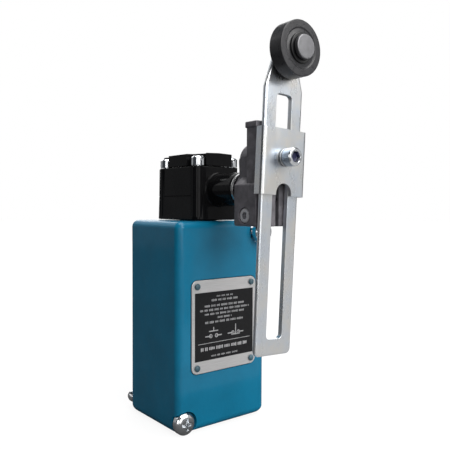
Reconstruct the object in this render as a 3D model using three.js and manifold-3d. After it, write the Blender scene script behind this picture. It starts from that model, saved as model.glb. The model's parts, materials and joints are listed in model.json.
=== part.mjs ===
// Side-rotary limit switch with an adjustable roller lever.
// Units are millimetres, +Z is up, the nameplate face looks along -Y and the lever shaft points along -Y.
// The origin of the finished group is the centre of the outer face of the rear plate.
import * as THREE from "three";
import { mergeVertices } from "three/addons/utils/BufferGeometryUtils.js";
import ManifoldModule from "manifold-3d";

const wasm = await ManifoldModule();
wasm.setup();

// ---- driving dimensions (x across the front, y back from the front face, z up from the underside) ----
const GAP = 0.3;

const BODY = {
  width: 43.6, depth: 37.2, height: 80.4, corner: 3.2, lowEdge: 1.9, topEdge: 2.8,
  lowHeight: 2.6, lowCorner: 2.6, wall: 3.4,
  topWall: 3.8,
};
const REBATE = { halfWidth: 18.4, low: 3.8, high: 76.6, depth: 2.6, cut: 10.5 };
const INLET = { bore: 10.2, bossRadius: 13.7, bossHeight: 11.0, y: 18.6 };
const TURRET_BORE = 8.0;

const PLATE = { halfWidth: 15.9, low: 21.9, high: 57.8, corner: 2.6, thickness: 0.5, pocket: 0.4 };
const FIELD = { halfWidth: 14.5, low: 26.6, high: 53.0 };
const RIVET = { x: 13.4, low: 24.2, high: 55.5, head: 1.25, shank: 0.75, length: 4.0 };

const MOUNT_SCREW = {
  x: 18.0, low: 3.6, high: 75.8, head: 4.4, headHeight: 3.8, shank: 2.35, hole: 2.7,
  recess: 4.8, recessDepth: 4.3, length: 39.5, lowerStandOff: 1.0, upperStandOff: 4.6,
};
const REAR_SCREW = { head: 2.2, shank: 1.1, length: 8.0, holeDepth: 9.0, post: 3.2, postFront: 27.2 };
const REAR_SCREW_PLACES = [[-15.0, 73.2], [15.0, 7.2], [-15.2, 19.0], [15.2, 61.4]];

const HEAD = {
  halfWidth: 10.4, front: 3.6, rear: 34.6, corner: 4.0, base: 80.7, top: 101.9,
  cavityHalfWidth: 8.5, cavityFront: 7.2, cavityRear: 31.0, cavityFloor: 83.6,
  bossRadius: 6.4, bossEnd: -11.0, spigotRadius: 7.6, spigotBottom: 77.2,
};
const COVER = { top: 107.3, side: 106.9, notchX: 6.4, frontNotch: 11.2, rearNotch: 24.6, fillet: 1.2 };
const HEAD_SCREW = { x: 8.1, front: 6.7, rear: 29.3, head: 2.8, headHeight: 3.9, shank: 1.45,
  length: 9.0 };

const SHAFT = { z: 92.6, radius: 4.0, frontEnd: -28.7, rearEnd: 32.2, bore: 4.3, rearRadius: 3.0 };
const BUSHING = { sleeve: 5.2, flange: 6.3, flangeFront: -12.5, flangeRear: -11.3, rear: -1.0 };
const CAM = { front: 14.6, rear: 21.6, base: 5.4, rise: 2.4, travel: 75, margin: 8 };
const PLUNGER = {
  y: 18.1, disc: 4.6, discTop: 86.65, discThickness: 1.4, stem: 2.2, stemBottom: 68.6, guide: 2.6,
  bore: 5.6,
};

const LEVER = { lean: 3.0, pivotZ: 103.0 };
const HUB = {
  halfWidth: 9.5, front: -29.3, lowerRear: -17.2, upperRear: -23.6, bottom: 79.1, shoulder: 93.8,
  shoulderTop: 96.6, top: 115.6, lip: 2.2, lipOut: 0.3, notchLeft: -4.5, notchFloor: 112.2,
  padHalfWidth: 6.6, padFront: -29.8,
  bossRadius: 6.0, bossRear: -15.4, barrelRadius: 5.6, barrelRear: -13.0, slit: 1.6, clampZ: 82.9,
  clampY: -23.0,
};
const ARM = {
  halfWidth: 8.8, bottomHalfWidth: 8.3, front: -32.1, thickness: 1.9, bottom: 34.3, slotHalf: 3.65,
  slotBottom: 40.0, slotTop: 125.1, shoulderZ: 127.0, neckHalf: 5.7, neckZ: 136.6, endRadius: 5.9,
};
const SADDLE = {
  halfWidth: 10.2, front: -33.8, plate: 1.4, flange: 1.05, low: 89.9, high: 112.9, rear: -29.7,
  archHalf: 3.6, archTop: 94.1, bend: 1.5,
};
const CAP_SCREW = {
  head: 3.2, end: -39.1, seat: -35.2, socket: 2.1, socketDepth: 2.6, shank: 1.9, tail: -16.2,
};
const ROLLER = {
  z: 139.75, radius: 9.525, front: -39.2, rear: -33.5, bore: 2.5, hub: 5.3, hubFront: -39.8,
  relief: 6.6, round: 0.45,
};
const PIN = { shank: 2.2, head: 4.15, headFront: -41.6, headRear: -40.1, tail: -28.9, tailRadius: 3.6 };

const SWITCH = {
  halfWidth: 14.0, front: 10.6, rear: 26.6, bottom: 44.0, top: 66.0, wall: 1.6, button: 1.7,
  buttonTop: 68.2,
};

const TERMINAL = {
  front: 15.9, rear: 20.3, thickness: 0.8, inner: 6.6, outer: 17.6, contactX: 9.0, screwX: 16.1,
  places: [[-1, 54.9], [1, 54.9], [-1, 60.0], [1, 60.0]],
};

const FIXING = { places: [-11, 11], z: 47.6, hole: 1.5, post: 3.0 };
const GROUND = { x: -12.6, z: 16.0, tip: 1.8 };

// ---- colours ----
const paint = { color: 0x22769a, roughness: 0.42, metalness: 0.15 };
const blackEnamel = { color: 0x101114, roughness: 0.28, metalness: 0.2 };
const castZinc = { color: 0x45434a, roughness: 0.55, metalness: 0.6 };
const zincPlate = { color: 0xbcc0c6, roughness: 0.3, metalness: 0.9 };
const brightSteel = { color: 0xd2d4d8, roughness: 0.2, metalness: 1.0 };
const darkSteel = { color: 0x6c6e72, roughness: 0.4, metalness: 0.9 };
const nylon = { color: 0x3b3b3e, roughness: 0.5, metalness: 0.0 };
const phenolic = { color: 0x2a2420, roughness: 0.55, metalness: 0.0 };
const brass = { color: 0xb08d4a, roughness: 0.3, metalness: 0.9 };
const aluminium = { color: 0xc4c6c8, roughness: 0.35, metalness: 0.8 };
const rubber = { color: 0x17171a, roughness: 0.8, metalness: 0.0 };
const bronze = { color: 0x9c7440, roughness: 0.4, metalness: 0.9 };

// ---- geometry helpers ----
function toSolid(geometry) {
  const bare = geometry.clone();
  bare.deleteAttribute("normal");
  bare.deleteAttribute("uv");
  const merged = mergeVertices(bare, 1e-4);
  const mesh = new wasm.Mesh({
    numProp: 3,
    vertProperties: new Float32Array(merged.attributes.position.array),
    triVerts: new Uint32Array(merged.index.array),
  });
  return new wasm.Manifold(mesh);
}

function toGeometry(solid) {
  const mesh = solid.getMesh();
  const geometry = new THREE.BufferGeometry();
  geometry.setAttribute("position", new THREE.BufferAttribute(new Float32Array(mesh.vertProperties), 3));
  geometry.setIndex(new THREE.BufferAttribute(new Uint32Array(mesh.triVerts), 1));
  return geometry;
}

function box(x0, x1, y0, y1, z0, z1) {
  const geometry = new THREE.BoxGeometry(x1 - x0, y1 - y0, z1 - z0);
  geometry.translate((x0 + x1) / 2, (y0 + y1) / 2, (z0 + z1) / 2);
  return toSolid(geometry);
}

// A lathe profile is a list of [radius, height] pairs that starts and ends on the axis,
// or closes on itself.
function latheGeometry(profile, segments) {
  return new THREE.LatheGeometry(profile.map(([r, h]) => new THREE.Vector2(r, h)), segments);
}

// Turned solid whose axis runs along Z through (x, y).
function turnedZ(x, y, profile, segments = 32) {
  const geometry = latheGeometry(profile, segments);
  geometry.rotateX(Math.PI / 2);
  geometry.translate(x, y, 0);
  return toSolid(geometry);
}

// Turned solid whose axis runs along Y through (x, z); profile heights are y values.
function turnedY(x, z, profile, segments = 32) {
  const geometry = latheGeometry(profile, segments);
  geometry.translate(x, 0, z);
  return toSolid(geometry);
}

function cylinderY(x, z, radius, y0, y1, segments = 32) {
  return turnedY(x, z, [[0, y0], [radius, y0], [radius, y1], [0, y1]], segments);
}

function cylinderZ(x, y, radius, z0, z1, segments = 32) {
  return turnedZ(x, y, [[0, z0], [radius, z0], [radius, z1], [0, z1]], segments);
}

function cylinderX(y, z, radius, x0, x1, segments = 32) {
  const geometry = latheGeometry([[0, x0], [radius, x0], [radius, x1], [0, x1]], segments);
  geometry.rotateZ(-Math.PI / 2);
  geometry.translate(0, y, z);
  return toSolid(geometry);
}

// Extrusion of an outline over a length, starting at zero; a bevel rounds the edges of both end faces.
function extruded(shape, length, bevel, bevelSegments, curveSegments) {
  const geometry = new THREE.ExtrudeGeometry(shape, {
    depth: length - 2 * bevel,
    bevelEnabled: bevel > 0,
    bevelSize: bevel,
    bevelThickness: bevel,
    bevelOffset: -bevel,
    bevelSegments,
    curveSegments,
  });
  geometry.translate(0, 0, bevel);
  return geometry;
}

// Prism with its outline in the XZ plane, filling y0..y1.
function prismY(shape, y0, y1, bevel = 0, bevelSegments = 2, curveSegments = 8) {
  const geometry = extruded(shape, y1 - y0, bevel, bevelSegments, curveSegments);
  geometry.rotateX(Math.PI / 2);
  geometry.translate(0, y1, 0);
  return toSolid(geometry);
}

// Prism with its outline in the XY plane, filling z0..z1.
function prismZ(shape, z0, z1, bevel = 0, bevelSegments = 2, curveSegments = 6) {
  const geometry = extruded(shape, z1 - z0, bevel, bevelSegments, curveSegments);
  geometry.translate(0, 0, z0);
  return toSolid(geometry);
}

function roundedRect(x0, x1, y0, y1, radius) {
  const shape = new THREE.Shape();
  shape.moveTo(x0 + radius, y0);
  shape.lineTo(x1 - radius, y0);
  shape.absarc(x1 - radius, y0 + radius, radius, -Math.PI / 2, 0, false);
  shape.lineTo(x1, y1 - radius);
  shape.absarc(x1 - radius, y1 - radius, radius, 0, Math.PI / 2, false);
  shape.lineTo(x0 + radius, y1);
  shape.absarc(x0 + radius, y1 - radius, radius, Math.PI / 2, Math.PI, false);
  shape.lineTo(x0, y0 + radius);
  shape.absarc(x0 + radius, y0 + radius, radius, Math.PI, 1.5 * Math.PI, false);
  return shape;
}

function polygon(points) {
  const shape = new THREE.Shape();
  shape.moveTo(points[0][0], points[0][1]);
  for (const [x, y] of points.slice(1)) {
    shape.lineTo(x, y);
  }
  shape.closePath();
  return shape;
}

// Round wire along a helix; ends are plain cuts. axis "z" runs up, axis "y" runs back.
function helixWire(axis, centre, radius, wire, start, end, turns) {
  const points = [];
  const steps = Math.round(turns * 10);
  for (let i = 0; i <= steps; i += 1) {
    const t = i / steps;
    const angle = t * turns * 2 * Math.PI;
    const along = start + (end - start) * t;
    const u = radius * Math.cos(angle);
    const v = radius * Math.sin(angle);
    points.push(axis === "z"
      ? new THREE.Vector3(centre[0] + u, centre[1] + v, along)
      : new THREE.Vector3(centre[0] + u, along, centre[1] + v));
  }
  const section = new THREE.Shape();
  section.absarc(0, 0, wire, 0, 2 * Math.PI, false);
  const geometry = new THREE.ExtrudeGeometry(section, {
    steps,
    curveSegments: 3,
    bevelEnabled: false,
    extrudePath: new THREE.CatmullRomCurve3(points),
  });
  return geometry;
}

// ---- scene graph ----
const group = new THREE.Group();
group.name = "limit_switch";

const body = new THREE.Group();
body.name = "body_assembly";
body.position.set(0, -BODY.depth, -BODY.height / 2);
group.add(body);

// The slotted arm and what it carries lean a little from the vertical about the saddle screw.
const leverFrame = new THREE.Group();
leverFrame.name = "leaning_lever";
leverFrame.position.set(0, 0, LEVER.pivotZ);
leverFrame.rotation.y = THREE.MathUtils.degToRad(LEVER.lean);
body.add(leverFrame);

function addMesh(parent, name, shape, look) {
  const geometry = shape instanceof THREE.BufferGeometry ? shape : toGeometry(shape);
  const material = new THREE.MeshStandardMaterial(look);
  const mesh = new THREE.Mesh(geometry, material);
  mesh.name = name;
  parent.add(mesh);
  return mesh;
}

function addToBody(name, shape, look) {
  return addMesh(body, name, shape, look);
}

// Lever pieces are drawn upright in body coordinates and hung from the leaning frame.
function addToLever(name, shape, look) {
  const mesh = addMesh(leverFrame, name, shape, look);
  mesh.position.z = -LEVER.pivotZ;
  return mesh;
}

// ---- housing ----
// Closed block of stacked rounded rectangles, drawn in towards the bottom and the top to round
// those edges. The corners grow rounder towards the underside.
function buildBlock() {
  const rings = [];
  const steps = 3;
  for (let i = 0; i <= steps; i += 1) {
    const angle = (i / steps) * (Math.PI / 2);
    const fade = 1 - Math.sin(angle);
    const z = BODY.lowHeight * (1 - Math.cos(angle));
    rings.push([z, BODY.lowEdge * fade, BODY.lowCorner * fade]);
  }
  for (let i = steps; i >= 0; i -= 1) {
    const angle = (i / steps) * (Math.PI / 2);
    const inset = BODY.topEdge * (1 - Math.sin(angle));
    rings.push([BODY.height - BODY.topEdge * (1 - Math.cos(angle)), inset, 0]);
  }
  const positions = [];
  let ringSize = 0;
  for (const [z, inset, extra] of rings) {
    const x = BODY.width / 2 - inset;
    const radius = BODY.corner - inset + extra;
    const outline = roundedRect(-x, x, inset, BODY.depth - inset, radius).getPoints(4);
    outline.pop();
    ringSize = outline.length;
    outline.forEach((point) => positions.push(point.x, point.y, z));
  }
  const indices = [];
  for (let ring = 0; ring + 1 < rings.length; ring += 1) {
    for (let i = 0; i < ringSize; i += 1) {
      const a = ring * ringSize + i;
      const b = ring * ringSize + ((i + 1) % ringSize);
      indices.push(a, b, b + ringSize, a, b + ringSize, a + ringSize);
    }
  }
  const last = (rings.length - 1) * ringSize;
  for (let i = 1; i + 1 < ringSize; i += 1) {
    indices.push(0, i + 1, i, last, last + i, last + i + 1);
  }
  const geometry = new THREE.BufferGeometry();
  geometry.setAttribute("position", new THREE.Float32BufferAttribute(positions, 3));
  geometry.setIndex(indices);
  return toSolid(geometry);
}

function buildHousing() {
  const half = BODY.width / 2;
  let housing = buildBlock();

  const cavity = box(-half + BODY.wall, half - BODY.wall, BODY.wall, BODY.depth + 1,
    BODY.wall, BODY.height - BODY.topWall);
  const cornerPost = 9.0;
  const lowPost = box(-half, -half + cornerPost, 0, BODY.depth + 1, 0, cornerPost);
  const highPost = box(half - cornerPost, half, 0, BODY.depth + 1, BODY.height - cornerPost, BODY.height);
  let hollow = cavity.subtract(lowPost).subtract(highPost);
  for (const [x, z] of REAR_SCREW_PLACES) {
    const inner = Math.abs(x) - REAR_SCREW.post;
    const x0 = x < 0 ? -half : inner;
    const x1 = x < 0 ? -inner : half;
    const z0 = z < BODY.wall + 2 * REAR_SCREW.post ? 0 : z - REAR_SCREW.post;
    const z1 = z > BODY.height - BODY.topWall - 2 * REAR_SCREW.post ? BODY.height : z + REAR_SCREW.post;
    hollow = hollow.subtract(box(x0, x1, REAR_SCREW.postFront, BODY.depth + 1, z0, z1));
  }
  hollow = hollow.subtract(cylinderZ(0, INLET.y, INLET.bossRadius, 0, INLET.bossHeight, 28));
  housing = housing.subtract(hollow);

  const rebate = prismY(rearPlateOutline(0), BODY.depth - REBATE.depth, BODY.depth + 1);
  housing = housing.subtract(rebate);

  housing = housing.subtract(cylinderZ(0, INLET.y, INLET.bore, -1, INLET.bossHeight + 1, 36));
  housing = housing.subtract(cylinderZ(0, PLUNGER.y, TURRET_BORE, 70, BODY.height + 1, 28));
  for (const [side, z] of [[-1, MOUNT_SCREW.low], [1, MOUNT_SCREW.high]]) {
    const x = side * MOUNT_SCREW.x;
    housing = housing.subtract(cylinderY(x, z, MOUNT_SCREW.hole, -1, BODY.depth + 1, 18));
    housing = housing.subtract(cylinderY(x, z, MOUNT_SCREW.recess, -1, MOUNT_SCREW.recessDepth, 28));
  }
  for (const [x, z] of REAR_SCREW_PLACES) {
    const bottom = BODY.depth - REAR_SCREW.holeDepth;
    housing = housing.subtract(cylinderY(x, z, REAR_SCREW.shank + GAP, bottom, BODY.depth + 1, 12));
  }
  for (const side of [-1, 1]) {
    for (const z of [RIVET.low, RIVET.high]) {
      const depth = RIVET.length + 0.4;
      housing = housing.subtract(cylinderY(side * RIVET.x, z, RIVET.shank + GAP, -1, depth, 10));
    }
  }
  housing = housing.subtract(cylinderY(GROUND.x, GROUND.z, 1.4 + GAP, GROUND.tip - GAP,
    BODY.wall + 1, 12));
  const pocket = roundedRect(-PLATE.halfWidth - GAP, PLATE.halfWidth + GAP, PLATE.low - GAP,
    PLATE.high + GAP,
    PLATE.corner + GAP);
  return housing.subtract(prismY(pocket, -1, PLATE.pocket));
}

// Outline of the rear plate: a rectangle with the two corners cut where the long screws pass.
function rearPlateOutline(inset) {
  const x = REBATE.halfWidth - inset;
  const low = REBATE.low + inset;
  const high = REBATE.high - inset;
  const cut = REBATE.cut - inset * 0.6;
  return polygon([[-x, low + cut], [-x + cut, low], [x, low], [x, high - cut], [x - cut, high],
    [-x, high]]);
}

// Pan-head cross-recess screw along Y; the head faces -Y when direction is 1.
function panScrewY(x, z, headFront, screw, segments = 20) {
  const under = headFront + screw.headHeight;
  const dome = screw.headHeight * 0.45;
  const profile = [
    [0, headFront],
    [screw.head * 0.7, headFront + dome * 0.25],
    [screw.head, headFront + dome],
    [screw.head, under],
    [screw.shank, under],
    [screw.shank, under + screw.length - 0.8],
    [screw.shank * 0.7, under + screw.length],
    [0, under + screw.length],
  ];
  return turnedY(x, z, profile, segments);
}

function crossRecessY(x, z, y0, y1, reach, width) {
  const across = box(x - reach, x + reach, y0, y1, z - width, z + width);
  const upright = box(x - width, x + width, y0, y1, z - reach, z + reach);
  return across.add(upright);
}

function buildRearPlate() {
  const front = BODY.depth - REBATE.depth + 1.0;
  let plate = prismY(rearPlateOutline(GAP), front, BODY.depth);
  for (const [x, z] of REAR_SCREW_PLACES) {
    const wide = REAR_SCREW.head + GAP;
    const narrow = REAR_SCREW.shank + GAP;
    const sink = [[0, front - 1], [narrow, front - 1], [narrow, BODY.depth - 1.8],
      [wide, BODY.depth - 0.7],
      [wide, BODY.depth + 1], [0, BODY.depth + 1]];
    plate = plate.subtract(turnedY(x, z, sink, 14));
  }
  return plate;
}

function buildRearGasket() {
  const front = BODY.depth - REBATE.depth + 0.2;
  const rear = front + 0.5;
  let gasket = prismY(rearPlateOutline(0.4), front, rear);
  gasket = gasket.subtract(prismY(rearPlateOutline(4.2), front - 1, rear + 1));
  for (const [x, z] of REAR_SCREW_PLACES) {
    gasket = gasket.subtract(cylinderY(x, z, REAR_SCREW.shank + GAP, front - 1, rear + 1, 10));
  }
  return gasket;
}

addToBody("housing", buildHousing(), paint);
addToBody("rear_plate", buildRearPlate(), paint);
addToBody("rear_gasket", buildRearGasket(), rubber);

REAR_SCREW_PLACES.forEach(([x, z], index) => {
  const tip = BODY.depth - REAR_SCREW.length;
  const countersink = BODY.depth - 1.7;
  const profile = [
    [0, tip],
    [REAR_SCREW.shank, tip],
    [REAR_SCREW.shank, countersink],
    [REAR_SCREW.head, BODY.depth - 0.5],
    [REAR_SCREW.head, BODY.depth - 0.1],
    [0, BODY.depth - 0.1],
  ];
  const slot = crossRecessY(x, z, BODY.depth - 1.0, BODY.depth + 1, REAR_SCREW.head * 0.6, 0.3);
  addToBody(`rear_plate_screw_${index + 1}`, turnedY(x, z, profile, 12).subtract(slot), zincPlate);
});

const longScrews = [
  ["mounting_screw_lower", -MOUNT_SCREW.x, MOUNT_SCREW.low, MOUNT_SCREW.lowerStandOff],
  ["mounting_screw_upper", MOUNT_SCREW.x, MOUNT_SCREW.high, MOUNT_SCREW.upperStandOff],
];
for (const [name, x, z, standOff] of longScrews) {
  const headFront = MOUNT_SCREW.recessDepth - MOUNT_SCREW.headHeight - GAP - standOff;
  const recess = crossRecessY(x, z, headFront - 1, headFront + 1.9, 2.3, 0.55);
  addToBody(name, panScrewY(x, z, headFront, MOUNT_SCREW).subtract(recess), brightSteel);
}

// ---- nameplate with four drive rivets ----
function buildNameplate() {
  const front = PLATE.pocket - GAP - PLATE.thickness;
  const outline = roundedRect(-PLATE.halfWidth, PLATE.halfWidth, PLATE.low, PLATE.high, PLATE.corner);
  let plate = prismY(outline, front, front + PLATE.thickness);
  plate = plate.subtract(box(-FIELD.halfWidth, FIELD.halfWidth, front - 1, front + 0.12, FIELD.low,
    FIELD.high));
  for (const side of [-1, 1]) {
    for (const z of [RIVET.low, RIVET.high]) {
      plate = plate.subtract(cylinderY(side * RIVET.x, z, RIVET.shank + 0.25, -3, 3, 10));
    }
  }
  return plate;
}
addToBody("nameplate", buildNameplate(), aluminium);

let rivetIndex = 0;
for (const side of [-1, 1]) {
  for (const z of [RIVET.low, RIVET.high]) {
    rivetIndex += 1;
    const under = PLATE.pocket - GAP - PLATE.thickness - 0.25;
    const profile = [
      [0, under - 0.75],
      [RIVET.head * 0.6, under - 0.6],
      [RIVET.head, under - 0.15],
      [RIVET.head, under],
      [RIVET.shank, under],
      [RIVET.shank, RIVET.length],
      [0, RIVET.length],
    ];
    addToBody(`nameplate_rivet_${rivetIndex}`, turnedY(side * RIVET.x, z, profile, 12), aluminium);
  }
}

// ---- turret head ----
function buildHeadHousing() {
  const outline = roundedRect(-HEAD.halfWidth, HEAD.halfWidth, HEAD.front, HEAD.rear, HEAD.corner);
  let head = prismZ(outline, HEAD.base, HEAD.top, 0, 2, 5);
  head = head.add(cylinderZ(0, PLUNGER.y, HEAD.spigotRadius, HEAD.spigotBottom, HEAD.base + 1, 28));
  head = head.add(cylinderY(0, SHAFT.z, HEAD.bossRadius, HEAD.bossEnd, HEAD.front + 2, 36));
  head = head.subtract(box(-HEAD.cavityHalfWidth, HEAD.cavityHalfWidth, HEAD.cavityFront, HEAD.cavityRear,
    HEAD.cavityFloor, HEAD.top + 1));
  for (const side of [-1, 1]) {
    for (const y of [HEAD_SCREW.front, HEAD_SCREW.rear]) {
      const post = cylinderZ(side * HEAD_SCREW.x, y, 2.9, HEAD.cavityFloor - 1, HEAD.top, 14);
      head = head.add(post);
      head = head.subtract(cylinderZ(side * HEAD_SCREW.x, y, HEAD_SCREW.shank + GAP, HEAD.top - 9.6,
        HEAD.top + 1, 12));
    }
  }
  head = head.subtract(cylinderY(0, SHAFT.z, BUSHING.sleeve + GAP, HEAD.bossEnd - 1, HEAD.front + 1, 24));
  head = head.subtract(cylinderY(0, SHAFT.z, SHAFT.bore, HEAD.bossEnd - 1, HEAD.cavityFront + 1, 24));
  head = head.subtract(cylinderY(0, SHAFT.z, SHAFT.rearRadius + GAP, HEAD.cavityRear - 1,
    SHAFT.rearEnd + GAP, 20));
  head = head.subtract(cylinderZ(0, PLUNGER.y, PLUNGER.bore, HEAD.spigotBottom + 1.4,
    HEAD.cavityFloor + 1, 20));
  return head.subtract(cylinderZ(0, PLUNGER.y, PLUNGER.guide, HEAD.spigotBottom - 1,
    HEAD.cavityFloor + 1, 16));
}

// Cover outline: a plate with four square notches that leave the screw heads open to the side.
function buildHeadCover() {
  const outline = roundedRect(-HEAD.halfWidth, HEAD.halfWidth, HEAD.front, HEAD.rear, HEAD.corner);
  const bottom = HEAD.top + GAP;
  let cover = prismZ(outline, bottom, COVER.top, 0, 2, 5);
  const ridge = polygon([
    [-HEAD.halfWidth - 1, bottom - 1],
    [HEAD.halfWidth + 1, bottom - 1],
    [HEAD.halfWidth + 1, COVER.side],
    [0, COVER.top],
    [-HEAD.halfWidth - 1, COVER.side],
  ]);
  cover = cover.intersect(prismY(ridge, HEAD.front - 1, HEAD.rear + 1));
  const far = HEAD.halfWidth + 6;
  for (const side of [-1, 1]) {
    const x0 = side < 0 ? -far : COVER.notchX;
    const x1 = side < 0 ? -COVER.notchX : far;
    const front = roundedRect(x0, x1, HEAD.front - 6, COVER.frontNotch, COVER.fillet);
    const rear = roundedRect(x0, x1, COVER.rearNotch, HEAD.rear + 6, COVER.fillet);
    cover = cover.subtract(prismZ(front, bottom - 1, COVER.top + 1));
    cover = cover.subtract(prismZ(rear, bottom - 1, COVER.top + 1));
    for (const y of [HEAD_SCREW.front, HEAD_SCREW.rear]) {
      const scoop = HEAD_SCREW.head + 0.5;
      cover = cover.subtract(cylinderZ(side * HEAD_SCREW.x, y, scoop, bottom - 1, COVER.top + 1, 20));
    }
  }
  return cover;
}

addToBody("head_housing", buildHeadHousing(), blackEnamel);
addToBody("head_cover", buildHeadCover(), blackEnamel);

let headScrewIndex = 0;
for (const y of [HEAD_SCREW.front, HEAD_SCREW.rear]) {
  for (const side of [-1, 1]) {
    headScrewIndex += 1;
    const x = side * HEAD_SCREW.x;
    const seat = HEAD.top + GAP;
    const top = seat + HEAD_SCREW.headHeight;
    const profile = [
      [0, HEAD.top - HEAD_SCREW.length],
      [HEAD_SCREW.shank, HEAD.top - HEAD_SCREW.length],
      [HEAD_SCREW.shank, seat],
      [HEAD_SCREW.head, seat],
      [HEAD_SCREW.head, top - 1.2],
      [HEAD_SCREW.head * 0.8, top - 0.35],
      [0, top],
    ];
    const slot = box(x - 0.45, x + 0.45, y - HEAD_SCREW.head, y + HEAD_SCREW.head, top - 1.3, top + 1);
    addToBody(`head_screw_${headScrewIndex}`, turnedZ(x, y, profile, 16).subtract(slot), brightSteel);
  }
}

const ringSeal = [[6.2, 75.6], [7.7, 75.6], [7.7, 76.9], [6.2, 76.9], [6.2, 75.6]];
addToBody("turret_seal", turnedZ(0, PLUNGER.y, ringSeal, 24), rubber);

addToBody("shaft_bushing", turnedY(0, SHAFT.z, [
  [SHAFT.bore, BUSHING.flangeFront],
  [BUSHING.flange, BUSHING.flangeFront],
  [BUSHING.flange, BUSHING.flangeRear],
  [BUSHING.sleeve, BUSHING.flangeRear],
  [BUSHING.sleeve, BUSHING.rear],
  [SHAFT.bore, BUSHING.rear],
  [SHAFT.bore, BUSHING.flangeFront],
], 28), bronze);

addToBody("shaft_seal", turnedY(0, SHAFT.z, [
  [SHAFT.bore + 0.05, -0.6],
  [BUSHING.sleeve, -0.6],
  [BUSHING.sleeve, 3.2],
  [SHAFT.bore + 0.05, 3.2],
  [SHAFT.bore + 0.05, -0.6],
], 20), rubber);

// ---- rotary mechanism ----
addToBody("shaft", turnedY(0, SHAFT.z, [
  [0, SHAFT.frontEnd],
  [SHAFT.radius - 0.5, SHAFT.frontEnd],
  [SHAFT.radius, SHAFT.frontEnd + 0.5],
  [SHAFT.radius, 24.0],
  [SHAFT.rearRadius, 24.0],
  [SHAFT.rearRadius, SHAFT.rearEnd],
  [0, SHAFT.rearEnd],
], 24), darkSteel);

// The cam radius grows evenly with angle, so the plunger goes down in step with the shaft.
function buildCam() {
  const points = [];
  const span = CAM.travel + CAM.margin;
  const peak = CAM.base + (CAM.rise * span) / CAM.travel;
  const fall = 40;
  for (let degree = 0; degree < 360; degree += 8) {
    let radius = CAM.base;
    if (degree <= span) {
      radius = CAM.base + (CAM.rise * degree) / CAM.travel;
    } else if (degree <= span + fall) {
      radius = peak + ((CAM.base - peak) * (degree - span)) / fall;
    }
    const angle = THREE.MathUtils.degToRad(degree - 90);
    points.push([radius * Math.cos(angle), SHAFT.z + radius * Math.sin(angle)]);
  }
  return prismY(polygon(points), CAM.front, CAM.rear)
    .subtract(cylinderY(0, SHAFT.z, SHAFT.radius + GAP, CAM.front - 1, CAM.rear + 1, 24));
}
addToBody("cam", buildCam(), darkSteel);

const ringClip = [[3.3, 25.2], [5.0, 25.2], [5.0, 26.0], [3.3, 26.0], [3.3, 25.2]];
addToBody("shaft_retaining_ring", turnedY(0, SHAFT.z, ringClip, 20), darkSteel);
addToBody("return_spring", helixWire("y", [0, SHAFT.z], 5.4, 0.45, 10.7, 13.7, 2.5), darkSteel);

addToBody("plunger", turnedZ(0, PLUNGER.y, [
  [0, PLUNGER.stemBottom],
  [PLUNGER.stem, PLUNGER.stemBottom],
  [PLUNGER.stem, PLUNGER.discTop - PLUNGER.discThickness],
  [PLUNGER.disc, PLUNGER.discTop - PLUNGER.discThickness],
  [PLUNGER.disc, PLUNGER.discTop],
  [0, PLUNGER.discTop],
], 18), nylon);
addToBody("plunger_spring", helixWire("z", [0, PLUNGER.y], 3.9, 0.4, 79.4, 84.6, 3.5), brightSteel);

// ---- lever hub ----
function buildHub() {
  const w = HUB.halfWidth;
  const lower = polygon([
    [-w, HUB.bottom],
    [w, HUB.bottom],
    [w, HUB.shoulder],
    [HUB.bossRadius, HUB.shoulderTop],
    [-HUB.bossRadius, HUB.shoulderTop],
    [-w, HUB.shoulder],
  ]);
  let hub = prismY(lower, HUB.front, HUB.lowerRear, 0.5, 1);
  const upper = roundedRect(-w + 0.4, w - 0.4, HUB.shoulder - 6, HUB.top - 0.5, 0.6);
  hub = hub.add(prismY(upper, HUB.front, HUB.upperRear, 0.4, 1));
  const lip = roundedRect(-w, w, HUB.top - HUB.lip, HUB.top, 0.4);
  hub = hub.add(prismY(lip, HUB.front, HUB.upperRear + HUB.lipOut));
  hub = hub.add(box(-HUB.padHalfWidth, HUB.padHalfWidth, HUB.padFront, HUB.front + 1, HUB.bottom,
    HUB.top - 3));

  const boss = turnedY(0, LEVER.pivotZ, [
    [0, HUB.front + 1],
    [HUB.bossRadius, HUB.front + 1],
    [HUB.bossRadius, HUB.bossRear - 1.2],
    [HUB.bossRadius - 1.2, HUB.bossRear],
    [0, HUB.bossRear],
  ], 28);
  const web = box(-HUB.bossRadius, HUB.bossRadius, HUB.front + 1, HUB.bossRear - 1.0, HUB.shoulder,
    LEVER.pivotZ);
  hub = hub.add(boss).add(web);
  hub = hub.add(cylinderY(0, SHAFT.z, HUB.barrelRadius, HUB.lowerRear - 1, HUB.barrelRear, 28));

  hub = hub.subtract(cylinderY(0, SHAFT.z, SHAFT.radius + GAP, HUB.padFront + 0.8,
    HUB.barrelRear + 1, 24));
  hub = hub.subtract(box(HUB.notchLeft, HUB.halfWidth + 1, HUB.padFront - 1, HUB.upperRear + 1,
    HUB.notchFloor, HUB.top + 1));
  hub = hub.subtract(box(-HUB.slit / 2, HUB.slit / 2, HUB.padFront - 1, HUB.barrelRear + 1,
    HUB.bottom - 1, SHAFT.z));
  hub = hub.subtract(cylinderX(HUB.clampY, HUB.clampZ, 1.8, -w - 1, w + 1, 12));
  hub = hub.subtract(cylinderX(HUB.clampY, HUB.clampZ, 2.9, -w - 1, -w + 3.4, 20));

  hub = hub.subtract(cylinderY(0, LEVER.pivotZ, CAP_SCREW.shank + GAP, HUB.padFront - 1,
    HUB.bossRear + 1, 16));
  const nutSide = 3.5 + GAP;
  return hub.subtract(box(-nutSide, nutSide, HUB.bossRear - 3.6, HUB.bossRear + 1,
    LEVER.pivotZ - nutSide, LEVER.pivotZ + nutSide));
}
addToBody("lever_hub", buildHub(), castZinc);

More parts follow.
